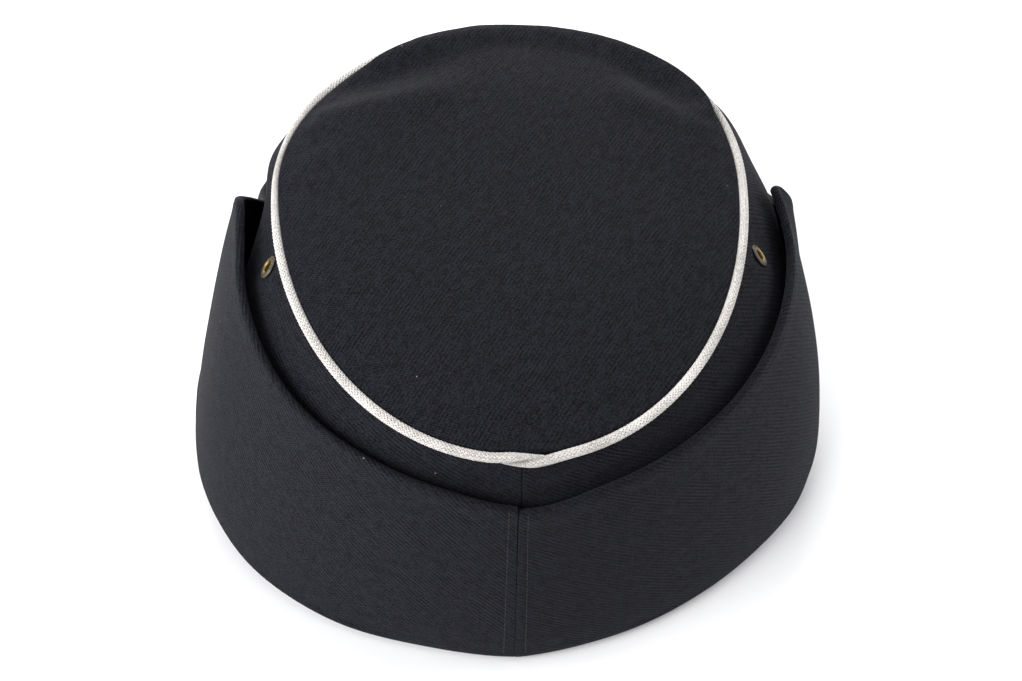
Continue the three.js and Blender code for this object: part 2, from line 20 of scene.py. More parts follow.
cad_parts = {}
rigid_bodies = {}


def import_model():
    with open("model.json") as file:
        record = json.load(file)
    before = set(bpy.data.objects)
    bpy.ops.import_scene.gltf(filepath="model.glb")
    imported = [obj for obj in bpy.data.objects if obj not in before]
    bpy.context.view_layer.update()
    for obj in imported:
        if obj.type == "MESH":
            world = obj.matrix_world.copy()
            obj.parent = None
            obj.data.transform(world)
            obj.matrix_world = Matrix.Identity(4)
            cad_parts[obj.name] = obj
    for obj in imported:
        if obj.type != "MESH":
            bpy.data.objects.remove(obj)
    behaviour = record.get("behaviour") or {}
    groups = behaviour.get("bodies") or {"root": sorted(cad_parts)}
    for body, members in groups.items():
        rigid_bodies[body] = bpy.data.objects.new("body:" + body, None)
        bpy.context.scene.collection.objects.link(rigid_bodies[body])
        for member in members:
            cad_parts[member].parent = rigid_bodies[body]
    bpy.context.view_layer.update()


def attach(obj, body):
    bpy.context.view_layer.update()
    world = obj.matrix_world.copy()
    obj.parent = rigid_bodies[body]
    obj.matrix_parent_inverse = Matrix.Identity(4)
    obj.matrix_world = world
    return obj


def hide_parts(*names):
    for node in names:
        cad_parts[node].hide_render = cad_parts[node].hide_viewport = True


log = logging.getLogger("cap")

MM = 0.001
FULL_TURN = 2 * math.pi
BODY = "root"
CLOTH_MAP = "cloth"

SAME_POINT = 2e-7
NO_LENGTH = 1e-8
END_STEPS = (0, 0.03, 0.08, 0.16, 0.28, 0.45, 0.7, 1.0)
LAP_OFFSET = 3.3
BUTTON_HEIGHTS = (12.5, 27.5)
NODES_IN_ROW, NODE_WIDTH, NODE_HEIGHT = 12, 220, 180

FLOAT, VECTOR = "NodeSocketFloat", "NodeSocketVector"
GEOMETRY, MATERIAL = "NodeSocketGeometry", "NodeSocketMaterial"

Socket = bpy.types.NodeSocket
Inputs = dict[str | int, object]
Colour = tuple[float, float, float, float]


class Side(Enum):
    """The wearer's side that a half of the cap is on, with the sign of its X."""

    LEFT = 1
    RIGHT = -1

    @property
    def label(self) -> str:
        """The side's word in the names of pieces."""
        return self.name.lower()


class Slot(Enum):
    """The record's material slots."""

    TWILL = "twill"
    BRAID = "braid"
    EYELET = "eyelet_metal"
    BUTTON = "button_metal"


def by_side(bearing: np.ndarray, left: float, right: float) -> np.ndarray:
    """Picks the left or the right value of a set for each bearing.

    Args:
        bearing: Bearings between -180 and 180.
        left: The value at the wearer's left.
        right: The value at the wearer's right.

    Returns:
        The value for each bearing.
    """
    return np.where((bearing >= 0) & (bearing <= 180), left, right)


def floats(*values: np.ndarray) -> list[np.ndarray]:
    """Brings values to arrays of one shape."""
    return np.broadcast_arrays(*(np.asarray(value, float) for value in values))


def signed(bearing: np.ndarray) -> np.ndarray:
    """Brings bearings between -180 and 180."""
    return np.mod(np.asarray(bearing, float) + 180, 360) - 180


def smoothstep(value: np.ndarray, start: float, end: float) -> np.ndarray:
    """Rises smoothly from 0 at start to 1 at end.

    Args:
        value: Where to read the step.
        start: Where it starts to rise.
        end: Where it reaches 1.

    Returns:
        The step's height at each value.
    """
    share = np.clip((np.asarray(value, float) - start) / (end - start), 0, 1)
    return share * share * (3 - 2 * share)


def bell(value: np.ndarray, middle: float, width: float) -> np.ndarray:
    """A smooth hump of height 1 round a middle."""
    return np.exp(-(((np.asarray(value, float) - middle) / width) ** 2))


def unit(vectors: np.ndarray) -> np.ndarray:
    """Scales vectors to length 1."""
    return vectors / np.linalg.norm(vectors, axis=-1, keepdims=True)


@dataclass(frozen=True)
class Outline:
    """An outline seen from above: half widths, reaches from the widest line, and swells at the corners.

    Skew moves the swell of a rear corner towards its side.
    """

    left: float
    right: float
    rear: float
    front: float
    widest_y: float
    rear_left: float
    rear_right: float
    front_left: float
    front_right: float
    skew_left: float = 0.0
    skew_right: float = 0.0

    def outward(self, bearing: np.ndarray) -> np.ndarray:
        """The level unit vectors that point out of the outline.

        Args:
            bearing: Bearings between -180 and 180.

        Returns:
            One vector for each bearing.
        """
        angle = np.radians(bearing)
        half_width = by_side(bearing, self.left, self.right)
        reach = np.where(np.cos(angle) > 0, self.rear, self.front)
        return unit(np.stack([reach * np.sin(angle), half_width * np.cos(angle), 0 * angle], -1))

    def point(self, bearing: np.ndarray, inset: float | np.ndarray = 0.0) -> np.ndarray:
        """Points of the outline at height 0.

        Args:
            bearing: Bearings between -180 and 180.
            inset: How far the outline is drawn in.

        Returns:
            One point for each bearing.
        """
        angle = np.radians(bearing)
        at_rear = np.cos(angle) > 0
        half_width = by_side(bearing, self.left, self.right) - inset
        reach = np.where(at_rear, self.rear, self.front) - inset
        swell = np.where(
            at_rear,
            by_side(bearing, self.rear_left, self.rear_right),
            by_side(bearing, self.front_left, self.front_right),
        )
        skew = np.where(at_rear, by_side(bearing, self.skew_left, self.skew_right), 0)
        out = swell * np.sin(2 * angle) ** 2 - skew * np.sin(4 * np.abs(angle))
        spot = np.stack([half_width * np.sin(angle), self.widest_y + reach * np.cos(angle), 0 * angle], -1)
        return spot + self.outward(bearing) * out[..., None]


@dataclass(frozen=True)
class RimRow:
    """The flap's rim at a bearing: its height over the fold, and how far it stands off the crown."""

    bearing: float
    left_height: float
    right_height: float
    left_gap: float
    right_gap: float


RIM = (
    RimRow(0, 58.9, 58.9, 2.6, 2.6),
    RimRow(15, 61.5, 61.7, 2.5, 2.6),
    RimRow(30, 62.9, 62.9, 2.5, 2.6),
    RimRow(45, 63.7, 63.4, 3, 2.8),
    RimRow(60, 65.3, 64.6, 3.6, 3.2),
    RimRow(75, 68.8, 66.4, 4.7, 3.8),
    RimRow(84, 73, 68.4, 5.2, 4.3),
    RimRow(92, 74.8, 72.2, 5.6, 4.6),
    RimRow(97, 71.8, 73.4, 5.2, 4.4),
    RimRow(103, 65, 59, 3.4, 4),
    RimRow(110, 55, 48, 1.4, 3.2),
    RimRow(122, 40.5, 40.5, 1.6, 2.2),
    RimRow(150, 38.4, 38.4, 1.5, 1.5),
    RimRow(180, 38, 38, 1.4, 1.4),
)


def rim_size(bearing: np.ndarray, column: str) -> np.ndarray:
    """Reads a column of the rim's table on a smooth curve through its rows.

    Args:
        bearing: Bearings between -180 and 180.
        column: The name of the column.

    Returns:
        The column's value at each bearing.
    """
    at = np.clip(np.abs(np.asarray(bearing, float)), 0, RIM[-1].bearing)
    places = np.array([row.bearing for row in RIM], float)
    sizes = np.array([getattr(row, column) for row in RIM], float)
    upper = np.clip(np.searchsorted(places, at), 1, len(RIM) - 1)
    before, start, end = np.maximum(upper - 2, 0), upper - 1, upper
    after = np.minimum(upper + 1, len(RIM) - 1)
    span = places[end] - places[start]
    start_slope = (sizes[end] - sizes[before]) / (places[end] - places[before]) * span * (start > 0)
    end_slope = (sizes[after] - sizes[start]) / (places[after] - places[start]) * span
    t = (at - places[start]) / span
    return (
        sizes[start] * (1 + 2 * t) * (1 - t) ** 2
        + start_slope * t * (1 - t) ** 2
        + sizes[end] * t * t * (3 - 2 * t)
        - end_slope * t * t * (1 - t)
    )


@dataclass(frozen=True)
class Bulge:
    """A place beside the front where the crown's wall stands out, or is sunk in where its sign is minus."""

    bearing: float
    width: float
    level: float
    height: float
    out: float

    def at(self, bearing: np.ndarray, level: np.ndarray) -> np.ndarray:
        """How far the wall stands out there, at bearings and levels."""
        return self.out * bell(bearing, self.bearing, self.width) * bell(level, self.level, self.height)


BULGES = (
    Bulge(119, 15, 0.9, 0.12, 1.8),
    Bulge(106, 12, 0.62, 0.21, -6.5),
    Bulge(-120, 17, 0.84, 0.17, 4),
)


@dataclass(frozen=True)
class CapForm:
    """The cap's shape as the CAD has it, and how it lies on the table."""

    fold: Outline = Outline(93.2, 94.8, 91, 114, 12, 2.9, -2.2, 0, -1, 1.3, 1.5)
    seam: Outline = Outline(63.5, 63.5, 84.9, 53, -2, 0.4, 0.4, -1, 2)
    seam_height: float = 80.2
    seam_slope: float = 0.131
    gap: float = 0.3
    crown_cloth: float = 2.0
    flap_cloth: float = 2.6
    crown_inset: float = 6.0
    crown_foot: float = 3.1
    fold_radius: float = 3.4
    crown_lean_left: float = 0.5
    crown_lean_right: float = 0.35
    crown_lean_power: float = 4.0
    bulge_seam_band: float = 0.12
    flap_lean_left: float = 1.25
    flap_lean_right: float = 1.6
    tilt: float = math.radians(6.5)
    floor_contact_y: float = 95.0
    centre_x: float = 0.8
    centre_y: float = 32.55

    def place(self, points: np.ndarray) -> np.ndarray:
        """Takes points from the level cap to the row frame.

        Args:
            points: Points in millimetres in the cap's own frame.

        Returns:
            The points in metres as the cap lies, tipped back on its peak.
        """
        x, y, z = np.moveaxis(np.asarray(points, float), -1, 0)
        c, s = math.cos(self.tilt), math.sin(self.tilt)
        lift = self.floor_contact_y * s
        return np.stack([x + self.centre_x, y * c + z * s + self.centre_y, z * c - y * s + lift], -1) * MM

    def seam_z(self, y: np.ndarray) -> np.ndarray:
        """Height of the surface in which the crown's seam lies."""
        return self.seam_height - self.seam_slope * (y - self.seam.widest_y)

    def floor_z(self, y: np.ndarray) -> np.ndarray:
        """Height of the table's plane under the level cap."""
        return (y - self.floor_contact_y) * math.tan(self.tilt)

    def blend(self, bearing: np.ndarray, left: float, right: float) -> np.ndarray:
        """Passes smoothly from the left value to the right value round the cap.

        Args:
            bearing: Bearings between -180 and 180.
            left: The value at the wearer's left.
            right: The value at the wearer's right.

        Returns:
            The value at each bearing.
        """
        return right + (left - right) * (1 + np.sin(np.radians(bearing))) / 2

    def wall(self, bearing: np.ndarray, level: np.ndarray, depth: float | np.ndarray = 0.0) -> np.ndarray:
        """Points of the crown's wall.

        Args:
            bearing: Bearings between -180 and 180.
            level: 0 at the wall's foot and 1 at the seam.
            depth: How deep under the outer face.

        Returns:
            One point for each bearing and level.
        """
        bearing, level, depth = floats(bearing, level, depth)
        foot = self.fold.point(bearing, self.crown_inset)
        top = self.seam.point(bearing)
        share = self.blend(bearing, self.crown_lean_left, self.crown_lean_right)
        lean = share * level + (1 - share) * np.abs(level) ** self.crown_lean_power
        out = self.bulge(bearing, level) - depth
        spot = foot + (top - foot) * lean[..., None] + self.seam.outward(bearing) * out[..., None]
        spot[..., 2] = self.crown_foot + (self.seam_z(spot[..., 1]) - self.crown_foot) * level
        return spot

    def bulge(self, bearing: np.ndarray, level: np.ndarray) -> np.ndarray:
        """How far the crown's wall stands out of its plain shape beside the front.

        Args:
            bearing: Bearings between -180 and 180.
            level: 0 at the wall's foot and 1 at the seam.

        Returns:
            The distance at each bearing and level.
        """
        held = smoothstep(1 - np.asarray(level), 0, self.bulge_seam_band)
        return sum(row.at(bearing, level) for row in BULGES) * held

    def wall_level(self, bearing: np.ndarray, height: np.ndarray) -> np.ndarray:
        """The wall's level at a height over the fold."""
        top = self.seam_z(self.seam.point(bearing)[..., 1])
        return (height - self.crown_foot) / (top - self.crown_foot)

    def rim(self, bearing: np.ndarray) -> np.ndarray:
        """The outer points of the flap's rim.

        Args:
            bearing: Bearings between -180 and 180.

        Returns:
            One point for each bearing.
        """
        height = by_side(bearing, rim_size(bearing, "left_height"), rim_size(bearing, "right_height"))
        gap = by_side(bearing, rim_size(bearing, "left_gap"), rim_size(bearing, "right_gap"))
        spot = self.wall(bearing, self.wall_level(bearing, height))
        spot = spot + self.fold.outward(bearing) * (gap + self.flap_cloth)[..., None]
        spot[..., 2] = height
        return spot

    def flap_wall(self, bearing: np.ndarray, height: np.ndarray, depth: float | np.ndarray) -> np.ndarray:
        """Points of the flap's wall.

        Args:
            bearing: Bearings between -180 and 180.
            height: Heights over the fold.
            depth: How deep under the outer face.

        Returns:
            One point for each bearing and height.
        """
        bearing, height, depth = floats(bearing, height, depth)
        rim = self.rim(bearing)
        share = np.maximum(0, (height - self.fold_radius) / (rim[..., 2] - self.fold_radius))
        power = self.blend(bearing, self.flap_lean_left, self.flap_lean_right)
        foot = self.fold.point(bearing)
        spot = foot + (rim - foot) * (share**power)[..., None]
        spot = spot - self.fold.outward(bearing) * depth[..., None]
        spot[..., 2] = height
        return spot


@dataclass(frozen=True)
class Ripple:
    """A soft, seeded unevenness of cloth, whose waves have a usual length and a height."""

    seed: int
    wavelength: float
    height: float
    waves: int = 16
    shortest: float = 0.7
    longest: float = 1.6
    evenness: float = 0.7

    def at(self, points: np.ndarray) -> np.ndarray:
        """Reads the unevenness at points.

        Args:
            points: Points in millimetres in the cap's own frame.

        Returns:
            One value for each point, mostly no further from 0 than the height.
        """
        draw = np.random.default_rng(self.seed)
        ways = unit(draw.normal(size=(self.waves, 3)))
        lengths = self.wavelength * draw.uniform(self.shortest, self.longest, self.waves)
        turns = ways * (FULL_TURN / lengths)[:, None]
        phases = draw.uniform(0, FULL_TURN, self.waves)
        total = np.sin(points @ turns.T + phases).sum(-1)
        return total * math.sqrt(2 / self.waves) * self.evenness * self.height


def grid_corners(columns: int, rows: int) -> np.ndarray:
    """The corners of a grid's faces.

    Args:
        columns: Steps along the grid.
        rows: Steps across it.

    Returns:
        Four places, each a column and a row, for each face.
    """
    a, j = (v.ravel() for v in np.meshgrid(np.arange(columns), np.arange(rows), indexing="ij"))
    return np.stack([[a, j], [a + 1, j], [a + 1, j + 1], [a, j + 1]]).transpose(2, 0, 1)


@dataclass(frozen=True)
class FlatCloth:
    """Lays a band of cloth out flat, as its pattern piece is cut: part of a wide ring, in millimetres."""

    radius: float = 360.0
    start: float = 0.0
    reference: float = 0.3
    turn: float = 0.0

    def lay(self, loop: np.ndarray) -> np.ndarray:
        """Lays a grid of loops out flat.

        Args:
            loop: The grid's points, with the first ones once more where it closes.

        Returns:
            A place on the flat cloth for each point.
        """
        rung = loop[:, int(self.reference * loop.shape[1])]
        along = np.concatenate([[0], np.cumsum(np.linalg.norm(np.diff(rung, axis=0), axis=-1))])
        along = along * np.sign(rung[len(rung) // 2, 0] or 1) + self.start
        steps = np.linalg.norm(np.diff(loop, axis=1), axis=-1)
        reach = self.radius - np.concatenate([np.zeros((len(loop), 1)), np.cumsum(steps, 1)], 1)
        angle = (along / self.radius + self.turn)[:, None]
        return np.stack([reach * np.sin(angle), self.radius - reach * np.cos(angle)], -1)


@dataclass(frozen=True)
class LevelCloth(FlatCloth):
    """Lays a panel out flat as it is seen from above."""

    def lay(self, loop: np.ndarray) -> np.ndarray:
        """Lays a grid of loops out flat; see FlatCloth.lay."""
        return loop[..., :2]


@dataclass
class ThickSheet:
    """A closed cloth shell between an outer and an inner grid of points, with rounded edges.

    Each grid has the shape (columns along the cloth, rows across it, 3). A closed sheet's last column meets
    its first one, and where it has a pole, its first row is one point.
    """

    outer: np.ndarray
    inner: np.ndarray
    closed: bool = False
    pole: bool = False
    edge_steps: int = 6
    bulge: float = 1.0

    def pinch_ends(self, from_end: np.ndarray, radius: float, least: float) -> None:
        """Thins the cloth to its ends, where a seam rounds it.

        Args:
            from_end: Each column's distance from the nearer end.
            radius: How far from the end the cloth has its whole thickness.
            least: The share of its thickness at the very end.
        """
        share = np.clip(from_end / radius, 0, 1)
        pinch = (least + (1 - least) * np.sqrt(1 - (1 - share) ** 2))[:, None, None]
        middle = (self.outer + self.inner) / 2
        self.outer = middle + (self.outer - middle) * pinch
        self.inner = middle + (self.inner - middle) * pinch

    def edge(self, row: int, inward: int) -> np.ndarray:
        """Rounds the edge at a row.

        Args:
            row: The row that the edge is at.
            inward: A row further in.

        Returns:
            The points from the outer to the inner grid round the edge, without its ends.
        """
        middle = (self.outer[:, row] + self.inner[:, row]) / 2
        half = (self.outer[:, row] - self.inner[:, row]) / 2
        away = middle - (self.outer[:, inward] + self.inner[:, inward]) / 2
        across = np.sum(half * half, -1, keepdims=True)
        away = unit(away - half * np.sum(away * half, -1, keepdims=True) / across)
        angles = np.linspace(0, math.pi, self.edge_steps + 2)[1:-1, None]
        reach = np.sqrt(across)[:, None] * self.bulge
        return middle[:, None] + half[:, None] * np.cos(angles) + away[:, None] * reach * np.sin(angles)

    def loop(self) -> np.ndarray:
        """Joins each column's outer row, edges and inner row into one loop.

        Returns:
            A grid of the shape (columns, points of the loop, 3).
        """
        parts = [self.outer, self.edge(-1, -2), self.inner[:, ::-1]]
        if not self.pole:
            near = self.edge(0, 1)
            half = self.edge_steps // 2
            parts = [near[:, :half][:, ::-1], *parts, near[:, half:][:, ::-1]]
        return np.concatenate(parts, 1)

    def mesh(self, form: CapForm, flat: FlatCloth) -> bpy.types.Mesh:
        """Builds the mesh, with a map of where each point lies on the flat cloth.

        Args:
            form: The cap's shape.
            flat: Lays the loop's points out on the flat cloth.

        Returns:
            The mesh, in the row frame, with its faces outwards.
        """
        loop = self.loop()
        columns, ring = loop.shape[:2]
        corners = grid_corners(columns - (not self.closed), ring - self.pole)
        if not self.closed:
            pair = np.arange(ring // 2 - 1)
            for end, order in ((0, 1), (columns - 1, -1)):
                rows = np.stack([pair, pair + 1, ring - 2 - pair, ring - 1 - pair], -1)[:, ::order]
                corners = np.concatenate([corners, np.stack([np.full_like(rows, end), rows], -1)])
        column, row = corners[..., 0], corners[..., 1]
        whole = np.pad(loop, ((0, int(self.closed)), (0, int(not self.pole)), (0, 0)), "wrap")
        places = flat.lay(whole)[column, row]
        return closed_mesh(form.place(loop.reshape(-1, 3)), (column % columns) * ring + row % ring, places)


def closed_mesh(points: np.ndarray, faces: np.ndarray, places: np.ndarray) -> bpy.types.Mesh:
    """Builds a smooth mesh with its faces outwards, its doubles merged and a map of the flat cloth.

    Args:
        points: Points in metres in the row frame.
        faces: Four point numbers for each face.
        places: A place on the flat cloth for each corner of each face.

    Returns:
        The mesh.
    """
    a, b, c, d = (points[faces[:, k]] for k in range(4))
    volume = np.sum(np.cross(b, c) * a) + np.sum(np.cross(c, d) * a)
    if volume < 0:
        faces, places = faces[:, ::-1], places[:, ::-1]
    mesh = bpy.data.meshes.new("cloth")
    mesh.from_pydata(points.tolist(), [], faces.tolist())
    layer = mesh.uv_layers.new(name=CLOTH_MAP)
    layer.data.foreach_set("uv", np.ascontiguousarray(places, dtype=np.float32).ravel())
    work = bmesh.new()
    work.from_mesh(mesh)
    bmesh.ops.remove_doubles(work, verts=work.verts, dist=SAME_POINT)
    bmesh.ops.dissolve_degenerate(work, edges=work.edges, dist=NO_LENGTH)
    work.to_mesh(mesh)
    work.free()
    mesh.shade_smooth()
    return mesh


class Turned(NamedTuple):
    """A point of a turned edge: how far inside the widest radius, and how far up."""

    inset: float
    up: float


def lathed(profile: list[tuple[float, float]], sides: int, seat: Matrix) -> bpy.types.Mesh:
    """Turns a profile round an axis.

    Args:
        profile: Radius and height of each point in millimetres, closed or starting and ending on the axis.
        sides: Steps round the axis.
        seat: Takes the axis's own frame, with +Z along it, to the row frame.

    Returns:
        The closed mesh, in the row frame.
    """
    angles = np.linspace(0, FULL_TURN, sides, endpoint=False)[:, None]
    radius, height = np.array(profile, float).T * MM
    grid = np.stack(floats(radius * np.cos(angles), radius * np.sin(angles), height), -1).reshape(-1, 3)
    corners = grid_corners(sides, len(profile) - 1)
    faces = (corners[..., 0] % sides) * len(profile) + corners[..., 1]
    points = grid @ np.array(seat.to_3x3()).T + np.array(seat.translation)
    return closed_mesh(points, faces, grid[faces][..., :2])


def placed(name: str, data: bpy.types.ID) -> bpy.types.Object:
    """Makes an object of some data and puts it in the scene."""
    made = bpy.data.objects.new(name, data)
    bpy.context.scene.collection.objects.link(made)
    return made


def baked(holder: bpy.types.Object) -> bpy.types.Mesh:
    """Makes a plain mesh of an object and its modifiers, and removes them both.

    Args:
        holder: The object, which is no piece yet.

    Returns:
        The mesh.
    """
    bpy.context.view_layer.update()
    mesh = bpy.data.meshes.new_from_object(holder.evaluated_get(bpy.context.evaluated_depsgraph_get()))
    holder.modifiers.clear()
    bpy.data.batch_remove((holder, holder.data))
    return mesh


def piece_of(
    mesh: bpy.types.Mesh, name: str, slot: Slot, material: bpy.types.Material, *nodes: str
) -> bpy.types.Object:
    """Makes a mesh a piece of the cap.

    Args:
        mesh: The piece's mesh, in the row frame.
        name: The piece's name.
        slot: The record's slot that its finish comes from; not used.
        material: Its finish.
        nodes: The CAD nodes that it stands for.

    Returns:
        The piece's object.
    """
    mesh.name = name
    mesh.materials.clear()
    mesh.materials.append(material)
    piece = placed(name, mesh)
    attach(piece, BODY)
    if nodes:
        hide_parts(*nodes)
    log.info("%s: %d faces", name, len(mesh.polygons))
    return piece


class Term:
    """A number that a node tree works out. A sum written with it adds the nodes for that sum."""

    def __init__(self, nodes: "Nodes", socket: Socket) -> None:
        """Takes the tree's nodes, and the socket that gives the number."""
        self.nodes = nodes
        self.socket = socket

    def __add__(self, other: object) -> "Term":
        """The number and another one added up."""
        return self.nodes.math("ADD", self, other)

    def __sub__(self, other: object) -> "Term":
        """The number less another one."""
        return self.nodes.math("SUBTRACT", self, other)

    def __mul__(self, other: object) -> "Term":
        """The number times another one."""
        return self.nodes.math("MULTIPLY", self, other)

    def __truediv__(self, other: object) -> "Term":
        """The number over another one."""
        return self.nodes.math("DIVIDE", self, other)


class Nodes:
    """Adds nodes to a tree and joins them."""

    def __init__(self, tree: bpy.types.NodeTree) -> None:
        """Takes the tree to fill."""
        self.tree = tree

    def add(self, kind: str, inputs: Inputs | None = None, **settings: object) -> bpy.types.Node:
        """Adds a node.

        Args:
            kind: The node's type.
            inputs: What each input gets.
            settings: The node's own settings.

        Returns:
            The node.
        """
        node = self.tree.nodes.new(kind)
        row, column = divmod(len(self.tree.nodes), NODES_IN_ROW)
        node.location = (column * NODE_WIDTH, -row * NODE_HEIGHT)
        for key, value in settings.items():
            setattr(node, key, value)
        return self.feed(node, inputs or {})

    def feed(self, node: bpy.types.Node, inputs: Inputs) -> bpy.types.Node:
        """Feeds a node's inputs.

        Args:
            node: The node.
            inputs: A number or socket to link, or a plain value, for each input, by its name or place.

        Returns:
            The same node.
        """
        for key, value in inputs.items():
            value = value.socket if isinstance(value, Term) else value
            if isinstance(value, Socket):
                self.tree.links.new(value, node.inputs[key])
            else:
                node.inputs[key].default_value = value
        return node

    def math(self, operation: str, *values: object) -> Term:
        """Adds a sum on numbers and gives its result."""
        return Term(self, self.add("ShaderNodeMath", dict(enumerate(values)), operation=operation).outputs[0])

    def vector(self, operation: str, *values: object) -> Socket:
        """Adds a sum on vectors and gives its result."""
        places = (0, 3) if operation == "SCALE" else range(len(values))
        node = self.add("ShaderNodeVectorMath", dict(zip(places, values)), operation=operation)
        return node.outputs["Value" if operation == "LENGTH" else 0]

    def combine(self, *values: object) -> Socket:
        """Makes a vector of up to three numbers."""
        return self.add("ShaderNodeCombineXYZ", dict(enumerate(values))).outputs[0]

    def noise(self, at: Socket, scale: float, detail: float = 2.0) -> Term:
        """Adds a noise between 0 and 1."""
        inputs = {"Vector": at, "Scale": scale, "Detail": detail, "Roughness": 0.55}
        return Term(self, self.add("ShaderNodeTexNoise", inputs).outputs[0])

    def uneven(self, at: Socket, scale: float, detail: float) -> Term:
        """Adds a noise between -0.5 and 0.5."""
        return self.noise(at, scale, detail) - 0.5

    def ramp(self, value: object, low: float, high: float, to_low: float = 0.0, to_high: float = 1.0) -> Term:
        """Maps a range of values smoothly to another range.

        Args:
            value: The value to map.
            low: Where the range starts.
            high: Where the range ends.
            to_low: What its start becomes.
            to_high: What its end becomes.

        Returns:
            The mapped value.
        """
        inputs = {0: value, 1: low, 2: high, 3: to_low, 4: to_high}
        return Term(self, self.add("ShaderNodeMapRange", inputs, interpolation_type="SMOOTHSTEP").outputs[0])

    def mix(self, share: object, first: object, second: object) -> Socket:
        """Mixes two colours, with a share of the second one."""
        return self.add("ShaderNodeMix", {0: share, 6: first, 7: second}, data_type="RGBA").outputs[2]

    def bump(self, height: object, depth: float, strength: float) -> Socket:
        """Makes a normal from a height, whose whole range is a depth in millimetres."""
        inputs = {"Height": height, "Distance": depth * MM, "Strength": strength}
        return self.add("ShaderNodeBump", inputs).outputs[0]


def blank_material(name: str) -> tuple[bpy.types.Material, Nodes, bpy.types.Node]:
    """Makes a material.

    Args:
        name: The material's name.

    Returns:
        The material, its nodes and its shader.
    """
    material = bpy.data.materials.new(name)
    material.use_nodes = True
    return material, Nodes(material.node_tree), material.node_tree.nodes["Principled BSDF"]


class Group(Nodes):
    """A node group: its nodes, what its named inputs give, and the node that takes its outputs."""

    def __init__(
        self, name: str, kind: str, inputs: dict[str, tuple[str, object]], outputs: dict[str, str]
    ) -> None:
        """Makes the group with its sockets.

        Args:
            name: The group's name.
            kind: Its tree type.
            inputs: Socket type and first value of each input.
            outputs: Socket type of each output.
        """
        super().__init__(bpy.data.node_groups.new(name, kind))
        new_socket = self.tree.interface.new_socket
        for label, socket_type in outputs.items():
            new_socket(name=label, in_out="OUTPUT", socket_type=socket_type)
        for label, (socket_type, value) in inputs.items():
            socket = new_socket(name=label, in_out="INPUT", socket_type=socket_type)
            if value is not None:
                socket.default_value = value
        self.given = self.add("NodeGroupInput").outputs
        self.result = self.add("NodeGroupOutput")


class Noise(NamedTuple):
    """How fine and how detailed a noise is."""

    scale: float
    detail: float


class Span(NamedTuple):
    """A range of values and the values that its two ends become."""

    low: float
    high: float
    to_low: float = 0.0
    to_high: float = 1.0


DRIFT, RIDGE_WEAR, STREAK = Noise(0.09, 2.0), Noise(0.11, 3.0), Noise(1.1, 2.0)
GRAIN, PATCH, FUZZ = Noise(2.2, 3.0), Noise(0.4, 3.0), Noise(1.4, 2.0)
WARM_WOOL, LINT_AREA, LINT_EDGE = Noise(1.1, 2.0), Noise(0.05, 2.0), Noise(1.6, 2.0)
RIDGE_LEFT, WARM_PATCH = Span(0.35, 0.68, 0.35, 1.0), Span(0.42, 0.66)
LINT_SPECK, LINT_PATCH = Span(0.036, 0.046, 1.0, 0.0), Span(0.48, 0.54)


def twill_group() -> bpy.types.NodeTree:
    """Makes the shared twill effect: slanted ridges of yarn, broken up by streaks, fuzz and lint.

    Returns:
        The group, whose outputs are the weave's height, a shade that is painted shade in the weave's low
        parts mixed with random tone, and masks of lint and of warmer wool.
    """
    nodes = Group(
        "twill_weave",
        "ShaderNodeTree",
        {
            "Place": (VECTOR, None),
            "Line Angle": (FLOAT, 0.5),
            "Ridge Spacing": (FLOAT, 1.0),
            "Yarn Spacing": (FLOAT, 0.62),
            "Unevenness": (FLOAT, 0.8),
            "Ridge Strength": (FLOAT, 0.2),
            "Yarn Strength": (FLOAT, 0.17),
            "Streak Strength": (FLOAT, 0.7),
            "Grain Strength": (FLOAT, 1.5),
            "Patch Strength": (FLOAT, 1.0),
            "Fuzz Strength": (FLOAT, 2.0),
            "Streak Stretch": (FLOAT, 0.16),
            "Lint Spacing": (FLOAT, 0.1),
            "Lint Raggedness": (FLOAT, 0.035),
        },
        {"Height": FLOAT, "Shade": FLOAT, "Lint Mask": FLOAT, "Warm Mask": FLOAT},
    )
    given = nodes.given
    place, angle = given["Place"], given["Line Angle"]
    x, y, _ = (Term(nodes, part) for part in nodes.add("ShaderNodeSeparateXYZ", {0: place}).outputs)
    sine, cosine = nodes.math("SINE", angle), nodes.math("COSINE", angle)
    across, along = y * cosine - x * sine, x * cosine + y * sine
    sway = nodes.uneven(place, *DRIFT) * given["Unevenness"]
    ridge_at = across / given["Ridge Spacing"] + sway
    yarn_at = along / given["Yarn Spacing"] + ridge_at * 0.5
    worn = nodes.ramp(nodes.noise(place, *RIDGE_WEAR), *RIDGE_LEFT)
    ridge = nodes.math("COSINE", ridge_at * FULL_TURN) * given["Ridge Strength"] * worn
    yarn = nodes.math("COSINE", yarn_at * FULL_TURN) * given["Yarn Strength"]
    streak_place = nodes.combine(ridge_at, along * given["Streak Stretch"])
    streak = nodes.uneven(streak_place, *STREAK) * given["Streak Strength"]
    grain = nodes.uneven(place, *GRAIN) * given["Grain Strength"]
    height = ridge + yarn + streak + grain + 0.5
    patch = nodes.uneven(place, *PATCH) * given["Patch Strength"]
    fuzz = nodes.uneven(place, *FUZZ) * given["Fuzz Strength"]
    dotted = {"Vector": place, "Scale": given["Lint Spacing"], "Randomness": 1.0}
    cells = nodes.add("ShaderNodeTexVoronoi", dotted)
    ragged = nodes.noise(place, *LINT_EDGE) * given["Lint Raggedness"]
    speck = nodes.ramp(ragged + cells.outputs["Distance"], *LINT_SPECK)
    effects = {
        "Height": height,
        # Painted shade where the ridges and yarns are low, plus random tone from streaks, grain, patches and
        # fuzz.
        "Shade": height + patch + fuzz,
        "Lint Mask": speck * nodes.ramp(nodes.noise(place, *LINT_AREA), *LINT_PATCH),
        "Warm Mask": nodes.ramp(nodes.noise(place, *WARM_WOOL), *WARM_PATCH),
    }
    nodes.feed(nodes.result, effects)
    return nodes.tree


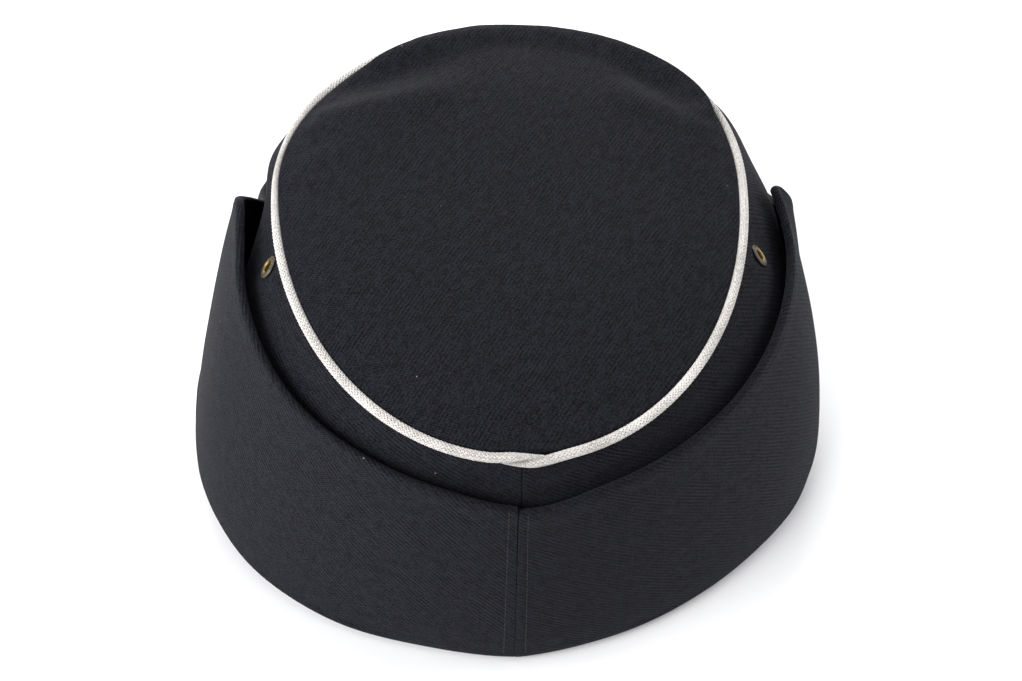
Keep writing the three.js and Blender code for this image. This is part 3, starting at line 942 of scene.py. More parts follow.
def worn_group() -> bpy.types.NodeTree:
    """Makes the shared wear effect of small metal parts: worn spots on the raised edges and fine dirt.

    Returns:
        The group, whose outputs are a mask of wear and a fine grain.
    """
    nodes = Group(
        "worn_metal",
        "ShaderNodeTree",
        {"Place": (VECTOR, None), "Scale": (FLOAT, 900.0), "Amount": (FLOAT, 0.5)},
        {"Wear": FLOAT, "Grain": FLOAT},
    )
    scaled = nodes.vector("SCALE", nodes.given["Place"], nodes.given["Scale"])
    lifted = nodes.noise(scaled, 1.0, 4.0) + nodes.math("SUBTRACT", nodes.given["Amount"], 0.5) * 0.5
    nodes.feed(nodes.result, {"Wear": nodes.ramp(lifted, 0.46, 0.6), "Grain": nodes.noise(scaled, 6.0, 3.0)})
    return nodes.tree


@dataclass(frozen=True)
class TwillFinish:
    """Dark wool twill: the colour of its ridges, a darker groove colour that paints shade into the weave's
    low parts, and how it takes the light.
    """

    name: str
    line_angle: float
    ridge_strength: float
    # Painted shade: the colour that the weave's grooves and low parts are darkened to, as if shaded.
    groove_painted_shade: Colour = (0.0012, 0.0014, 0.0024, 1)
    ridge: Colour = (0.0105, 0.0120, 0.0172, 1)
    warm_ridge: Colour = (0.0125, 0.0116, 0.0150, 1)
    lint: Colour = (0.24, 0.23, 0.22, 1)
    specular: float = 0.15
    groove_roughness: float = 0.96
    ridge_roughness: float = 0.82
    sheen: float = 0.02
    sheen_roughness: float = 0.5
    sheen_tint: Colour = (0.80, 0.80, 1.0, 1)
    depth: float = 0.14

    def make(self, weave: bpy.types.NodeTree) -> bpy.types.Material:
        """Makes the material.

        Args:
            weave: The shared twill effect.

        Returns:
            The material, which reads the piece's own map of the flat cloth.
        """
        material, nodes, shader = blank_material(self.name)
        inputs = {
            "Place": nodes.add("ShaderNodeUVMap", uv_map=CLOTH_MAP).outputs[0],
            "Line Angle": math.radians(self.line_angle),
            "Ridge Strength": self.ridge_strength,
        }
        effect = nodes.add("ShaderNodeGroup", inputs, node_tree=weave).outputs
        wool = nodes.mix(effect["Warm Mask"], self.ridge, self.warm_ridge)
        # Painted shade: the cloth darkens towards the groove colour where the weave is low, with random tone
        # on top.
        cloth = nodes.mix(nodes.ramp(effect["Shade"], 0.0, 1.0), self.groove_painted_shade, wool)
        looks = {
            "Base Color": nodes.mix(effect["Lint Mask"], cloth, self.lint),
            "Roughness": nodes.ramp(effect["Height"], 0.0, 1.0, self.groove_roughness, self.ridge_roughness),
            "Normal": nodes.bump(effect["Height"], self.depth, 1.0),
            "Specular IOR Level": self.specular,
            "Sheen Weight": self.sheen,
            "Sheen Roughness": self.sheen_roughness,
            "Sheen Tint": self.sheen_tint,
        }
        nodes.feed(shader, looks)
        return material


@dataclass(frozen=True)
class ThreadFinish:
    """Plain sewing thread, spun and slightly glossy."""

    name: str
    light: Colour
    dark: Colour
    roughness: float = 0.6
    metallic: float = 0.0
    twist_scale: float = 2600.0
    patch_share: float = 0.04
    depth: float = 0.08

    def make(self) -> bpy.types.Material:
        """Makes the material, on Object coordinates."""
        material, nodes, shader = blank_material(self.name)
        place = nodes.add("ShaderNodeTexCoord").outputs["Object"]
        fine = nodes.noise(place, self.twist_scale, 3.0)
        broad = nodes.noise(place, self.twist_scale * self.patch_share, 3.0)
        looks = {
            "Base Color": nodes.mix(nodes.ramp((broad + fine) * 0.6, 0.35, 0.8), self.dark, self.light),
            "Roughness": nodes.ramp(fine, 0.3, 0.7, self.roughness - 0.1, self.roughness + 0.12),
            "Normal": nodes.bump(fine, self.depth, 0.8),
            "Metallic": self.metallic,
        }
        nodes.feed(shader, looks)
        return material


@dataclass(frozen=True)
class MetalFinish:
    """A small stamped metal part, painted or dulled and worn through in spots, and inside the bare radius."""

    name: str
    coat: Colour
    bare: Colour
    coat_roughness: float
    bare_roughness: float
    coat_metallic: float
    wear: float
    bare_radius: float = 0.0
    bare_edge: float = 0.3
    bare_share: float = 0.85
    spot_share: float = 0.5
    dirt: Colour = (0.02, 0.018, 0.015, 1)
    scale: float = 900.0
    depth: float = 0.03

    def make(self, worn: bpy.types.NodeTree) -> bpy.types.Material:
        """Makes the material.

        Args:
            worn: The shared wear effect.

        Returns:
            The material, on Object coordinates.
        """
        material, nodes, shader = blank_material(self.name)
        place = nodes.add("ShaderNodeTexCoord").outputs["Object"]
        inputs = {"Place": place, "Scale": self.scale, "Amount": self.wear}
        effect = nodes.add("ShaderNodeGroup", inputs, node_tree=worn).outputs
        wear, grain = Term(nodes, effect["Wear"]), effect["Grain"]
        if self.bare_radius:
            reach = nodes.vector("LENGTH", nodes.add("ShaderNodeUVMap", uv_map=CLOTH_MAP).outputs[0])
            rim = self.bare_radius + self.bare_edge
            rubbed = nodes.ramp(reach, self.bare_radius * MM, rim * MM, 1.0, 0.0)
            wear = nodes.math("MAXIMUM", rubbed * self.bare_share, wear * self.spot_share)
        dirty = nodes.mix(nodes.ramp(grain, 0.35, 0.7, 0.0, 0.35), self.coat, self.dirt)
        looks = {
            "Base Color": nodes.mix(wear, dirty, self.bare),
            "Roughness": nodes.ramp(wear, 0.0, 1.0, self.coat_roughness, self.bare_roughness),
            "Metallic": nodes.ramp(wear, 0.0, 1.0, self.coat_metallic, 1.0),
            "Normal": nodes.bump(grain, self.depth, 0.6),
        }
        nodes.feed(shader, looks)
        return material


TOP_TWILL = TwillFinish("twill_top", line_angle=55, ridge_strength=0.2)
BAND_TWILL = TwillFinish("twill_band", line_angle=31, ridge_strength=0.31)
DARK_THREAD = ThreadFinish("dark_thread", light=(0.0125, 0.013, 0.0178, 1), dark=(0.006, 0.006, 0.009, 1))
SILVER_BRAID = ThreadFinish(
    "silver_braid",
    light=(0.71, 0.68, 0.655, 1),
    dark=(0.36, 0.34, 0.32, 1),
    roughness=0.5,
    metallic=0.1,
    twist_scale=1500.0,
    depth=0.1,
)
PAINTED_BRASS = MetalFinish(
    "painted_brass",
    coat=(0.042, 0.037, 0.032, 1),
    bare=(0.33, 0.24, 0.09, 1),
    coat_roughness=0.6,
    bare_roughness=0.45,
    coat_metallic=0.1,
    wear=0.36,
    bare_radius=2.2,
)
GREY_METAL = MetalFinish(
    "dull_grey_metal",
    coat=(0.2, 0.2, 0.19, 1),
    bare=(0.5, 0.49, 0.46, 1),
    coat_roughness=0.5,
    bare_roughness=0.32,
    coat_metallic=0.85,
    wear=0.35,
)


@dataclass
class Finishes:
    """Every finish of the cap, made once."""

    top: bpy.types.Material = field(init=False)
    band: bpy.types.Material = field(init=False)
    thread: bpy.types.Material = field(init=False)
    braid: bpy.types.Material = field(init=False)
    eyelet: bpy.types.Material = field(init=False)
    button: bpy.types.Material = field(init=False)

    def __post_init__(self) -> None:
        """Makes the materials."""
        weave, worn = twill_group(), worn_group()
        self.top, self.band = TOP_TWILL.make(weave), BAND_TWILL.make(weave)
        self.thread, self.braid = DARK_THREAD.make(), SILVER_BRAID.make()
        self.eyelet, self.button = PAINTED_BRASS.make(worn), GREY_METAL.make(worn)


@dataclass(frozen=True)
class Bead:
    """The small round body that a tree plants at every spot of a path."""

    radius: float
    steps: int


def planted(nodes: Group, bead: Bead, places: Inputs, *more: Socket) -> bpy.types.NodeTree:
    """Ends a tree: plants beads, makes them real, joins other shapes to them and gives all its finish.

    Args:
        nodes: The tree's group, with a Thread input.
        bead: What is planted.
        places: The beads' points, turns and sizes.
        more: The shapes to join.

    Returns:
        The tree.
    """
    inputs = {"Radius": bead.radius, "Subdivisions": bead.steps}
    body = nodes.add("GeometryNodeMeshIcoSphere", inputs).outputs["Mesh"]
    copies = nodes.add("GeometryNodeInstanceOnPoints", {"Instance": body, **places}).outputs[0]
    joined = nodes.add("GeometryNodeJoinGeometry")
    for shape in (nodes.add("GeometryNodeRealizeInstances", {0: copies}).outputs[0], *more):
        nodes.feed(joined, {0: shape})
    smooth = nodes.add("GeometryNodeSetShadeSmooth", {0: joined.outputs[0]}).outputs[0]
    dressed = nodes.add("GeometryNodeSetMaterial", {"Geometry": smooth, "Material": nodes.given["Thread"]})
    nodes.feed(nodes.result, {"Geometry": dressed.outputs[0]})
    return nodes.tree


def stitch_tree() -> bpy.types.NodeTree:
    """Makes the tree that sews a row of stitches along a curve.

    Returns:
        The tree, with the stitch's sizes as named inputs.
    """
    nodes = Group(
        "stitch_row",
        "GeometryNodeTree",
        {
            "Path": (GEOMETRY, None),
            "Pitch": (FLOAT, 0.0022),
            "Stitch Length": (FLOAT, 0.0017),
            "Thread Radius": (FLOAT, 0.00022),
            "Thread": (MATERIAL, None),
        },
        {"Geometry": GEOMETRY},
    )
    given = nodes.given
    inputs = {"Curve": given["Path"], "Length": given["Pitch"]}
    spots = nodes.add("GeometryNodeCurveToPoints", inputs, mode="LENGTH").outputs
    turn = nodes.add("FunctionNodeAlignEulerToVector", {"Vector": spots["Tangent"]}, axis="X").outputs[0]
    half = nodes.math("MULTIPLY", given["Stitch Length"], 0.5)
    places = {
        "Points": spots["Points"],
        "Rotation": turn,
        "Scale": nodes.combine(half, given["Thread Radius"], given["Thread Radius"]),
    }
    return planted(nodes, Bead(1.0, 2), places)


def braid_tree() -> bpy.types.NodeTree:
    """Makes the tree that plaits a round braid along a curve: rings of slanted strands over a core.

    Returns:
        The tree, with the braid's sizes as named inputs.
    """
    nodes = Group(
        "round_braid",
        "GeometryNodeTree",
        {
            "Path": (GEOMETRY, None),
            "Cord Radius": (FLOAT, 0.0014),
            "Ring Spacing": (FLOAT, 0.00058),
            "Strands": ("NodeSocketInt", 8),
            "Slant": (FLOAT, 0.7),
            "Strand Length": (FLOAT, 0.0015),
            "Strand Width": (FLOAT, 0.0007),
            "Strand Flatness": (FLOAT, 0.84),
            "Thread": (MATERIAL, None),
        },
        {"Geometry": GEOMETRY},
    )
    given = nodes.given
    inputs = {"Curve": given["Path"], "Length": given["Ring Spacing"]}
    spots = nodes.add("GeometryNodeCurveToPoints", inputs, mode="LENGTH").outputs
    along, normal = spots["Tangent"], spots["Normal"]
    capture = nodes.add("GeometryNodeCaptureAttribute", {"Geometry": spots["Points"]})
    capture.capture_items.new("INT", "Ring")
    nodes.feed(capture, {1: nodes.add("GeometryNodeInputIndex").outputs[0]})
    inputs = {"Geometry": capture.outputs[0], "Amount": given["Strands"]}
    copies = nodes.add("GeometryNodeDuplicateElements", inputs, domain="POINT").outputs
    odd = nodes.math("MODULO", capture.outputs[1], 2.0)
    angle = (odd * 0.5 + copies["Duplicate Index"]) / given["Strands"] * FULL_TURN
    side = nodes.vector("CROSS_PRODUCT", along, normal)
    cosine, sine = nodes.math("COSINE", angle), nodes.math("SINE", angle)
    out = nodes.vector("ADD", nodes.vector("SCALE", normal, cosine), nodes.vector("SCALE", side, sine))
    lean = nodes.math("SINE", given["Slant"]) * (odd * -2.0 + 1.0)
    slanted = nodes.vector("SCALE", nodes.vector("CROSS_PRODUCT", along, out), lean)
    straight = nodes.vector("SCALE", along, nodes.math("COSINE", given["Slant"]))
    axes = {"Primary Axis": out, "Secondary Axis": nodes.vector("ADD", straight, slanted)}
    turn = nodes.add("FunctionNodeAxesToRotation", axes, primary_axis="Z", secondary_axis="X").outputs[0]
    girth = nodes.add("GeometryNodeInputRadius").outputs[0]
    cord, width = Term(nodes, given["Cord Radius"]), Term(nodes, given["Strand Width"])
    thickness = width * given["Strand Flatness"]
    lift = nodes.vector("SCALE", out, (cord - thickness * 0.5) * girth)
    places = {
        "Points": nodes.add("GeometryNodeSetPosition", {"Geometry": copies[0], "Offset": lift}).outputs[0],
        "Rotation": turn,
        "Scale": nodes.vector("SCALE", nodes.combine(given["Strand Length"], width, thickness), girth),
    }
    inputs = {"Resolution": 10, "Radius": cord - width * 0.5}
    ring = nodes.add("GeometryNodeCurvePrimitiveCircle", inputs).outputs["Curve"]
    inputs = {"Curve": given["Path"], "Profile Curve": ring, "Scale": girth, "Fill Caps": True}
    core = nodes.add("GeometryNodeCurveToMesh", inputs).outputs[0]
    return planted(nodes, Bead(0.5, 1), places, core)


def along_paths(
    tree: bpy.types.NodeTree, paths: list[np.ndarray], values: Inputs, girth: np.ndarray | None = None
) -> bpy.types.Mesh:
    """Runs a Geometry Nodes tree along open paths and gives the plain mesh that it makes.

    Args:
        tree: The tree.
        paths: The points of each path, in metres in the row frame.
        values: What each named input gets.
        girth: A scale for each point of the path, or None for 1 everywhere.

    Returns:
        The mesh.
    """
    curve = bpy.data.curves.new("path", "CURVE")
    curve.dimensions = "3D"
    curve.twist_mode = "Z_UP"
    for path in paths:
        spline = curve.splines.new("POLY")
        spline.points.add(len(path) - 1)
        spline.points.foreach_set("co", np.c_[path, np.ones(len(path))].astype(np.float32).ravel())
        if girth is not None:
            spline.points.foreach_set("radius", girth.astype(np.float32))
    holder = placed("path", curve)
    modifier = holder.modifiers.new(tree.name, "NODES")
    modifier.node_group = tree
    for item in tree.interface.items_tree:
        if item.item_type == "SOCKET" and item.in_out == "INPUT" and item.name in values:
            modifier[item.identifier] = values[item.name]
    return baked(holder)


def seat_matrix(point: np.ndarray, way: np.ndarray) -> Matrix:
    """The frame of something seated at a point, with +Z along a way, in the row frame."""
    return Matrix.Translation(Vector(point)) @ Vector(way).to_track_quat("Z", "Y").to_matrix().to_4x4()


def fine_steps(start: float, stop: float, step: float) -> np.ndarray:
    """Even steps with finer ones at both ends.

    Args:
        start: The first value.
        stop: The last value.
        step: The usual step.

    Returns:
        The values in order.
    """
    ends = np.array(END_STEPS)
    inner = np.linspace(start + ends[-1], stop - ends[-1], max(2, round((stop - start) / step)))
    return np.concatenate([start + ends[:-1], inner, stop - ends[:-1][::-1]])


@dataclass(frozen=True)
class SoftFold:
    """A soft fold in the top panel: a ridge from one point to another, steeper on the side to the front."""

    start: tuple[float, float]
    end: tuple[float, float]
    height: float
    back_width: float
    front_width: float
    half_share: float = 0.62

    def lift(self, points: np.ndarray) -> np.ndarray:
        """How far the fold raises the panel.

        Args:
            points: Points of the panel.

        Returns:
            The height at each point.
        """
        start, end = np.array(self.start), np.array(self.end)
        length = np.linalg.norm(end - start)
        way = (end - start) / length
        offset = points[..., :2] - (start + end) / 2
        along = offset @ way / (self.half_share * length)
        aside = offset @ np.array([-way[1], way[0]]) * (1 if way[0] > 0 else -1)
        width = np.where(aside > 0, self.back_width, self.front_width)
        return self.height * np.exp(-((aside / width) ** 2)) * np.exp(-(along**4))


@dataclass(frozen=True)
class EdgePuff:
    """A small round puff at the front edge of the top panel."""

    x: float
    y: float
    height: float
    width: float = 6.0

    def lift(self, points: np.ndarray) -> np.ndarray:
        """How far the puff raises the panel, at points of it."""
        return self.height * bell(np.hypot(points[..., 0] - self.x, points[..., 1] - self.y), 0, self.width)


@dataclass
class CrownTop:
    """The top panel: a puffed oval of cloth, creased near the front and rolling over its seam there."""

    form: CapForm
    puff: float = 6.0
    puff_power: float = 4.0
    roll_left_start: float = 126.0
    roll_right_start: float = 101.0
    roll_left_ramp: float = 24.0
    roll_right_ramp: float = 18.0
    roll_crest: float = 0.975
    roll_fall: float = 0.16
    roll_height: float = 2.6
    outer_overhang: float = 0.9
    inner_overhang: float = -0.6
    lip: float = 1.2
    lip_bearing: float = -121.0
    lip_width: float = 14.0
    folds: tuple[SoftFold, ...] = (
        SoftFold((56, -21), (20, -28), 1.5, 7.0, 4.5),
        SoftFold((46, -33), (14, -41), -1.1, 5.0, 5.0),
        SoftFold((58, -5), (32, -17), 0.5, 7.0, 5.0),
        SoftFold((-34, -28), (-58, -13), 1.5, 6.5, 4.5),
        SoftFold((-34, -38), (-54, -26), -1.0, 4.5, 5.0),
        SoftFold((-42, -12), (-59, 3), 0.45, 6.0, 5.0),
    )
    ripples: tuple[Ripple, ...] = (Ripple(11, 46, 0.22), Ripple(12, 17, 0.0484))
    puffs: tuple[EdgePuff, ...] = (EdgePuff(21, -47, 0.9), EdgePuff(6.5, -50, 0.9), EdgePuff(-14, -49, 0.5))
    calm_edge: float = 0.25
    pucker: float = 0.14
    puckers: int = 46
    pucker_sway: float = 1.5
    pucker_sways: int = 7
    pucker_radius: float = 0.94
    pucker_width: float = 0.045
    columns: int = 400
    middle_rows: int = 45
    edge_rows: int = 34
    edge_start: float = 0.8
    edge_radius: float = 0.99

    def roll(self, bearing: np.ndarray, radius: np.ndarray) -> np.ndarray:
        """How much of the front roll the panel has.

        Args:
            bearing: Bearings between -180 and 180.
            radius: Shares of the way from the middle to the edge.

        Returns:
            The share of the roll at each point.
        """
        start = by_side(bearing, self.roll_left_start, self.roll_right_start)
        ramp = by_side(bearing, self.roll_left_ramp, self.roll_right_ramp)
        to_front = smoothstep((np.abs(bearing) - start) / ramp, 0, 1)
        rise = smoothstep(radius, self.roll_crest - self.roll_fall, self.roll_crest)
        fall = np.clip((1 - radius) / (1 - self.roll_crest), 0, 1)
        return to_front * np.where(radius > self.roll_crest, fall, rise)

    def sheet(self, bearing: np.ndarray, radius: np.ndarray, depth: float, overhang: float) -> np.ndarray:
        """One face of the panel.

        Args:
            bearing: Bearings between -180 and 180.
            radius: Shares of the way from the middle to the edge.
            depth: How deep under the outer face.
            overhang: How far the front roll reaches out over the seam.

        Returns:
            The points of the face.
        """
        bearing, radius = np.broadcast_arrays(bearing, radius)
        form = self.form
        middle = np.array([0, form.seam.widest_y, 0.0])
        spot = middle + (form.seam.point(bearing) - middle) * radius[..., None]
        roll = self.roll(bearing, radius)
        edge = 1 - radius**self.puff_power
        relief = sum(shape.lift(spot) for shape in (*self.folds, *self.puffs))
        relief = relief + sum(ripple.at(spot) for ripple in self.ripples)
        turn = np.radians(bearing)
        gather = np.sin(turn * self.puckers + self.pucker_sway * np.sin(turn * self.pucker_sways))
        relief = relief + self.pucker * gather * bell(radius, self.pucker_radius, self.pucker_width)
        height = edge * self.puff + np.minimum(1, edge / self.calm_edge) * relief + roll * self.roll_height
        spot[..., 2] = form.seam_z(spot[..., 1]) + form.gap + form.crown_cloth - depth + height
        overhang = overhang + self.lip * bell(bearing, self.lip_bearing, self.lip_width)
        return spot + form.seam.outward(bearing) * (roll * overhang)[..., None]

    def build(self, finishes: Finishes) -> None:
        """Builds the panel and dresses it."""
        bearing = np.linspace(-180, 180, self.columns, endpoint=False)[:, None]
        inside = np.linspace(0, self.edge_start, self.middle_rows, endpoint=False)
        outside = np.linspace(self.edge_start, self.edge_radius, self.edge_rows)
        radius = np.concatenate([inside, outside])[None]
        outer = self.sheet(bearing, radius, 0.0, self.outer_overhang)
        inner = self.sheet(bearing, radius, self.form.crown_cloth, self.inner_overhang)
        sheet = ThickSheet(outer, inner, closed=True, pole=True, edge_steps=8, bulge=0.95)
        mesh = sheet.mesh(self.form, LevelCloth())
        piece_of(mesh, "crown_top_cloth", Slot.TWILL, finishes.top, "crown_top")


@dataclass(frozen=True)
class EyeletPlace:
    """Where a vent eyelet sits on the crown's wall, and how far the cloth there turns it to the front."""

    bearing: float
    level: float
    turn: float = math.radians(16)
    bearing_step: float = 4.0
    level_step: float = 0.05

    def seat(self, form: CapForm) -> Matrix:
        """The frame of the eyelet on the wall, with +Z out of it.

        Args:
            form: The cap's shape.

        Returns:
            The frame's matrix, in the row frame.
        """
        bearings = self.bearing + self.bearing_step * np.array([-1, 1])
        levels = self.level + self.level_step * np.array([-1, 1])
        along = np.diff(form.place(form.wall(bearings, self.level)), axis=0)[0]
        up = np.diff(form.place(form.wall(self.bearing, levels)), axis=0)[0]
        out = unit(np.cross(along, up))
        out = out * np.sign(out[0] * self.bearing)
        ahead = unit(along) * -np.sign(along[1])
        way = out * math.cos(self.turn) + ahead * math.sin(self.turn)
        return seat_matrix(form.place(form.wall(self.bearing, self.level)), way)


EYELETS = {Side.LEFT: EyeletPlace(77.6, 0.918), Side.RIGHT: EyeletPlace(-79.6, 0.9)}


@dataclass
class CrownWall:
    """One side of the crown's wall, from the back seam to the front seam, with its eyelet's hole."""

    form: CapForm
    side: Side
    seam_round: float = 0.55
    seam_least: float = 0.35
    girth_radius: float = 85.0
    hole_radius: float = 2.35
    hole_sides: int = 40
    drill_reach: float = 10.0
    ripples: tuple[Ripple, ...] = (Ripple(21, 44, 0.42), Ripple(22, 15, 0.07))
    calm_band: float = 0.1
    dip: float = 0.35
    dip_width: float = 5.0
    pucker: float = 0.16
    puckers: int = 5
    pucker_reach: float = 6.5
    pucker_width: float = 3.0
    soft_places: tuple[Bulge, ...] = (
        Bulge(106, 10, 0.93, 0.05, 2.5),
        Bulge(96, 6, 0.75, 0.11, -2.4),
        Bulge(-98, 9, 0.81, 0.12, 1.9),
        Bulge(-111, 13, 0.84, 0.2, -1.9),
    )
    bottom_level: float = 0.01
    top_level: float = 0.985
    column_step: float = 0.7
    rows: int = 64
    cloth_radius: float = 300.0
    cloth_start: float = 7.3

    def relief(self, bearing: np.ndarray, level: np.ndarray, points: np.ndarray) -> np.ndarray:
        """How far the wall stands out from its plain shape.

        Args:
            bearing: Bearings between -180 and 180.
            level: 0 at the wall's foot and 1 at the seam.
            points: The wall's plain points.

        Returns:
            The distance at each point.
        """
        eyelet = EYELETS[self.side]
        offset = points - self.form.wall(eyelet.bearing, eyelet.level)
        away = np.linalg.norm(offset, axis=-1)
        gather = np.cos(self.puckers * np.arctan2(offset[..., 2], offset[..., 1]))
        out = sum(ripple.at(points) for ripple in self.ripples) * smoothstep(1 - level, 0.0, self.calm_band)
        out = out + self.pucker * gather * bell(away, self.pucker_reach, self.pucker_width)
        out = out - self.dip * bell(away, 0, self.dip_width)
        out = out + math.tan(eyelet.turn) * offset[..., 1] * bell(away, 0, self.pucker_reach)
        return out + sum(row.at(bearing, level) for row in self.soft_places)

    def skin(self, bearing: np.ndarray, level: np.ndarray, depth: float = 0.0) -> np.ndarray:
        """Points of the wall with its unevenness.

        Args:
            bearing: Bearings between -180 and 180.
            level: 0 at the wall's foot and 1 at the seam.
            depth: How deep under the outer face.

        Returns:
            The points.
        """
        bearing, level = np.broadcast_arrays(bearing, level)
        out = self.relief(bearing, level, self.form.wall(bearing, level))
        return self.form.wall(bearing, level, depth) + self.form.seam.outward(bearing) * out[..., None]

    def build(self, finishes: Finishes) -> None:
        """Builds the wall, opens its eyelet's hole and dresses it."""
        form, sign = self.form, self.side.value
        along = fine_steps(0, 180, self.column_step)
        bearing = (sign * along)[:, None]
        level = np.linspace(self.bottom_level, self.top_level, self.rows)[None]
        sheet = ThickSheet(self.skin(bearing, level), self.skin(bearing, level, form.crown_cloth))
        from_end = np.radians(np.minimum(along, 180 - along)) * self.girth_radius
        sheet.pinch_ends(from_end, self.seam_round, self.seam_least)
        for face in (sheet.outer, sheet.inner):
            face[..., 0] = sign * np.maximum(sign * face[..., 0], 0)
        mesh = sheet.mesh(form, FlatCloth(self.cloth_radius, sign * self.cloth_start))
        name = f"crown_wall_{self.side.label}"
        piece_of(self.opened(mesh), name, Slot.TWILL, finishes.band, f"crown_side_{self.side.label}")

    def opened(self, closed: bpy.types.Mesh) -> bpy.types.Mesh:
        """Bores the eyelet's hole in the wall.

        Args:
            closed: The closed wall.

        Returns:
            The wall with its hole.
        """
        radius, reach = self.hole_radius, self.drill_reach
        profile = [(0, -reach), (radius, -reach), (radius, reach), (0, reach)]
        drill = placed("drill", lathed(profile, self.hole_sides, EYELETS[self.side].seat(self.form)))
        wall = placed("wall", closed)
        modifier = wall.modifiers.new("hole", "BOOLEAN")
        modifier.object = drill
        modifier.operation = "DIFFERENCE"
        modifier.solver = "EXACT"
        mesh = baked(wall)
        bpy.data.batch_remove((drill, drill.data))
        return mesh


@dataclass
class Eyelet:
    """A vent eyelet: a domed flange outside, a barrel through the cloth and a rolled flange inside."""

    form: CapForm
    side: Side
    bore: float = 1.7
    lip: float = 0.45
    barrel: float = 2.2
    flange: float = 3.4
    height: float = 0.5
    seat: float = -0.05
    inside_seat: float = 0.45
    under: float = 0.1
    under_inset: float = 0.3
    back: tuple[Turned, ...] = (Turned(0.4, -0.5), Turned(0.25, -0.25), Turned(0.35, 0.0))
    dome_power: float = 0.8
    dome_steps: int = 8
    lip_power: float = 0.9
    lip_steps: int = 7
    sides: int = 56

    def build(self, finishes: Finishes) -> None:
        """Builds the eyelet and dresses it."""
        inner, under = -self.form.crown_cloth - self.inside_seat, self.seat - self.under
        crest = self.bore + self.lip
        dome = [
            (crest + (self.flange - crest) * math.cos(t) ** self.dome_power, self.height * math.sin(t))
            for t in np.linspace(0, math.pi / 2, self.dome_steps, endpoint=False)
        ]
        lip = [
            (crest - self.lip * math.sin(t), self.height * math.cos(t) ** self.lip_power)
            for t in np.linspace(0, math.pi / 2, self.lip_steps)
        ]
        back = [(self.flange - row.inset, inner + row.up) for row in self.back]
        profile = [
            (self.bore, inner - self.height),
            *back,
            (self.barrel, inner),
            (self.barrel, under),
            (self.flange - self.under_inset, under),
            *((r, self.seat + up) for r, up in (*dome, *lip)),
            (self.bore, inner - self.height),
        ]
        mesh = lathed(profile, self.sides, EYELETS[self.side].seat(self.form))
        name = f"vent_ring_{self.side.label}"
        piece_of(mesh, name, Slot.EYELET, finishes.eyelet, f"vent_eyelet_{self.side.label}")


@dataclass(frozen=True)
class StitchRow:
    """A row of topstitching: where it starts over the fold, how far below the rim it ends, and its steps."""

    start: float
    below_rim: float
    steps: int


GRAIN_TURNS = {Side.LEFT: math.radians(-15), Side.RIGHT: 0.0}


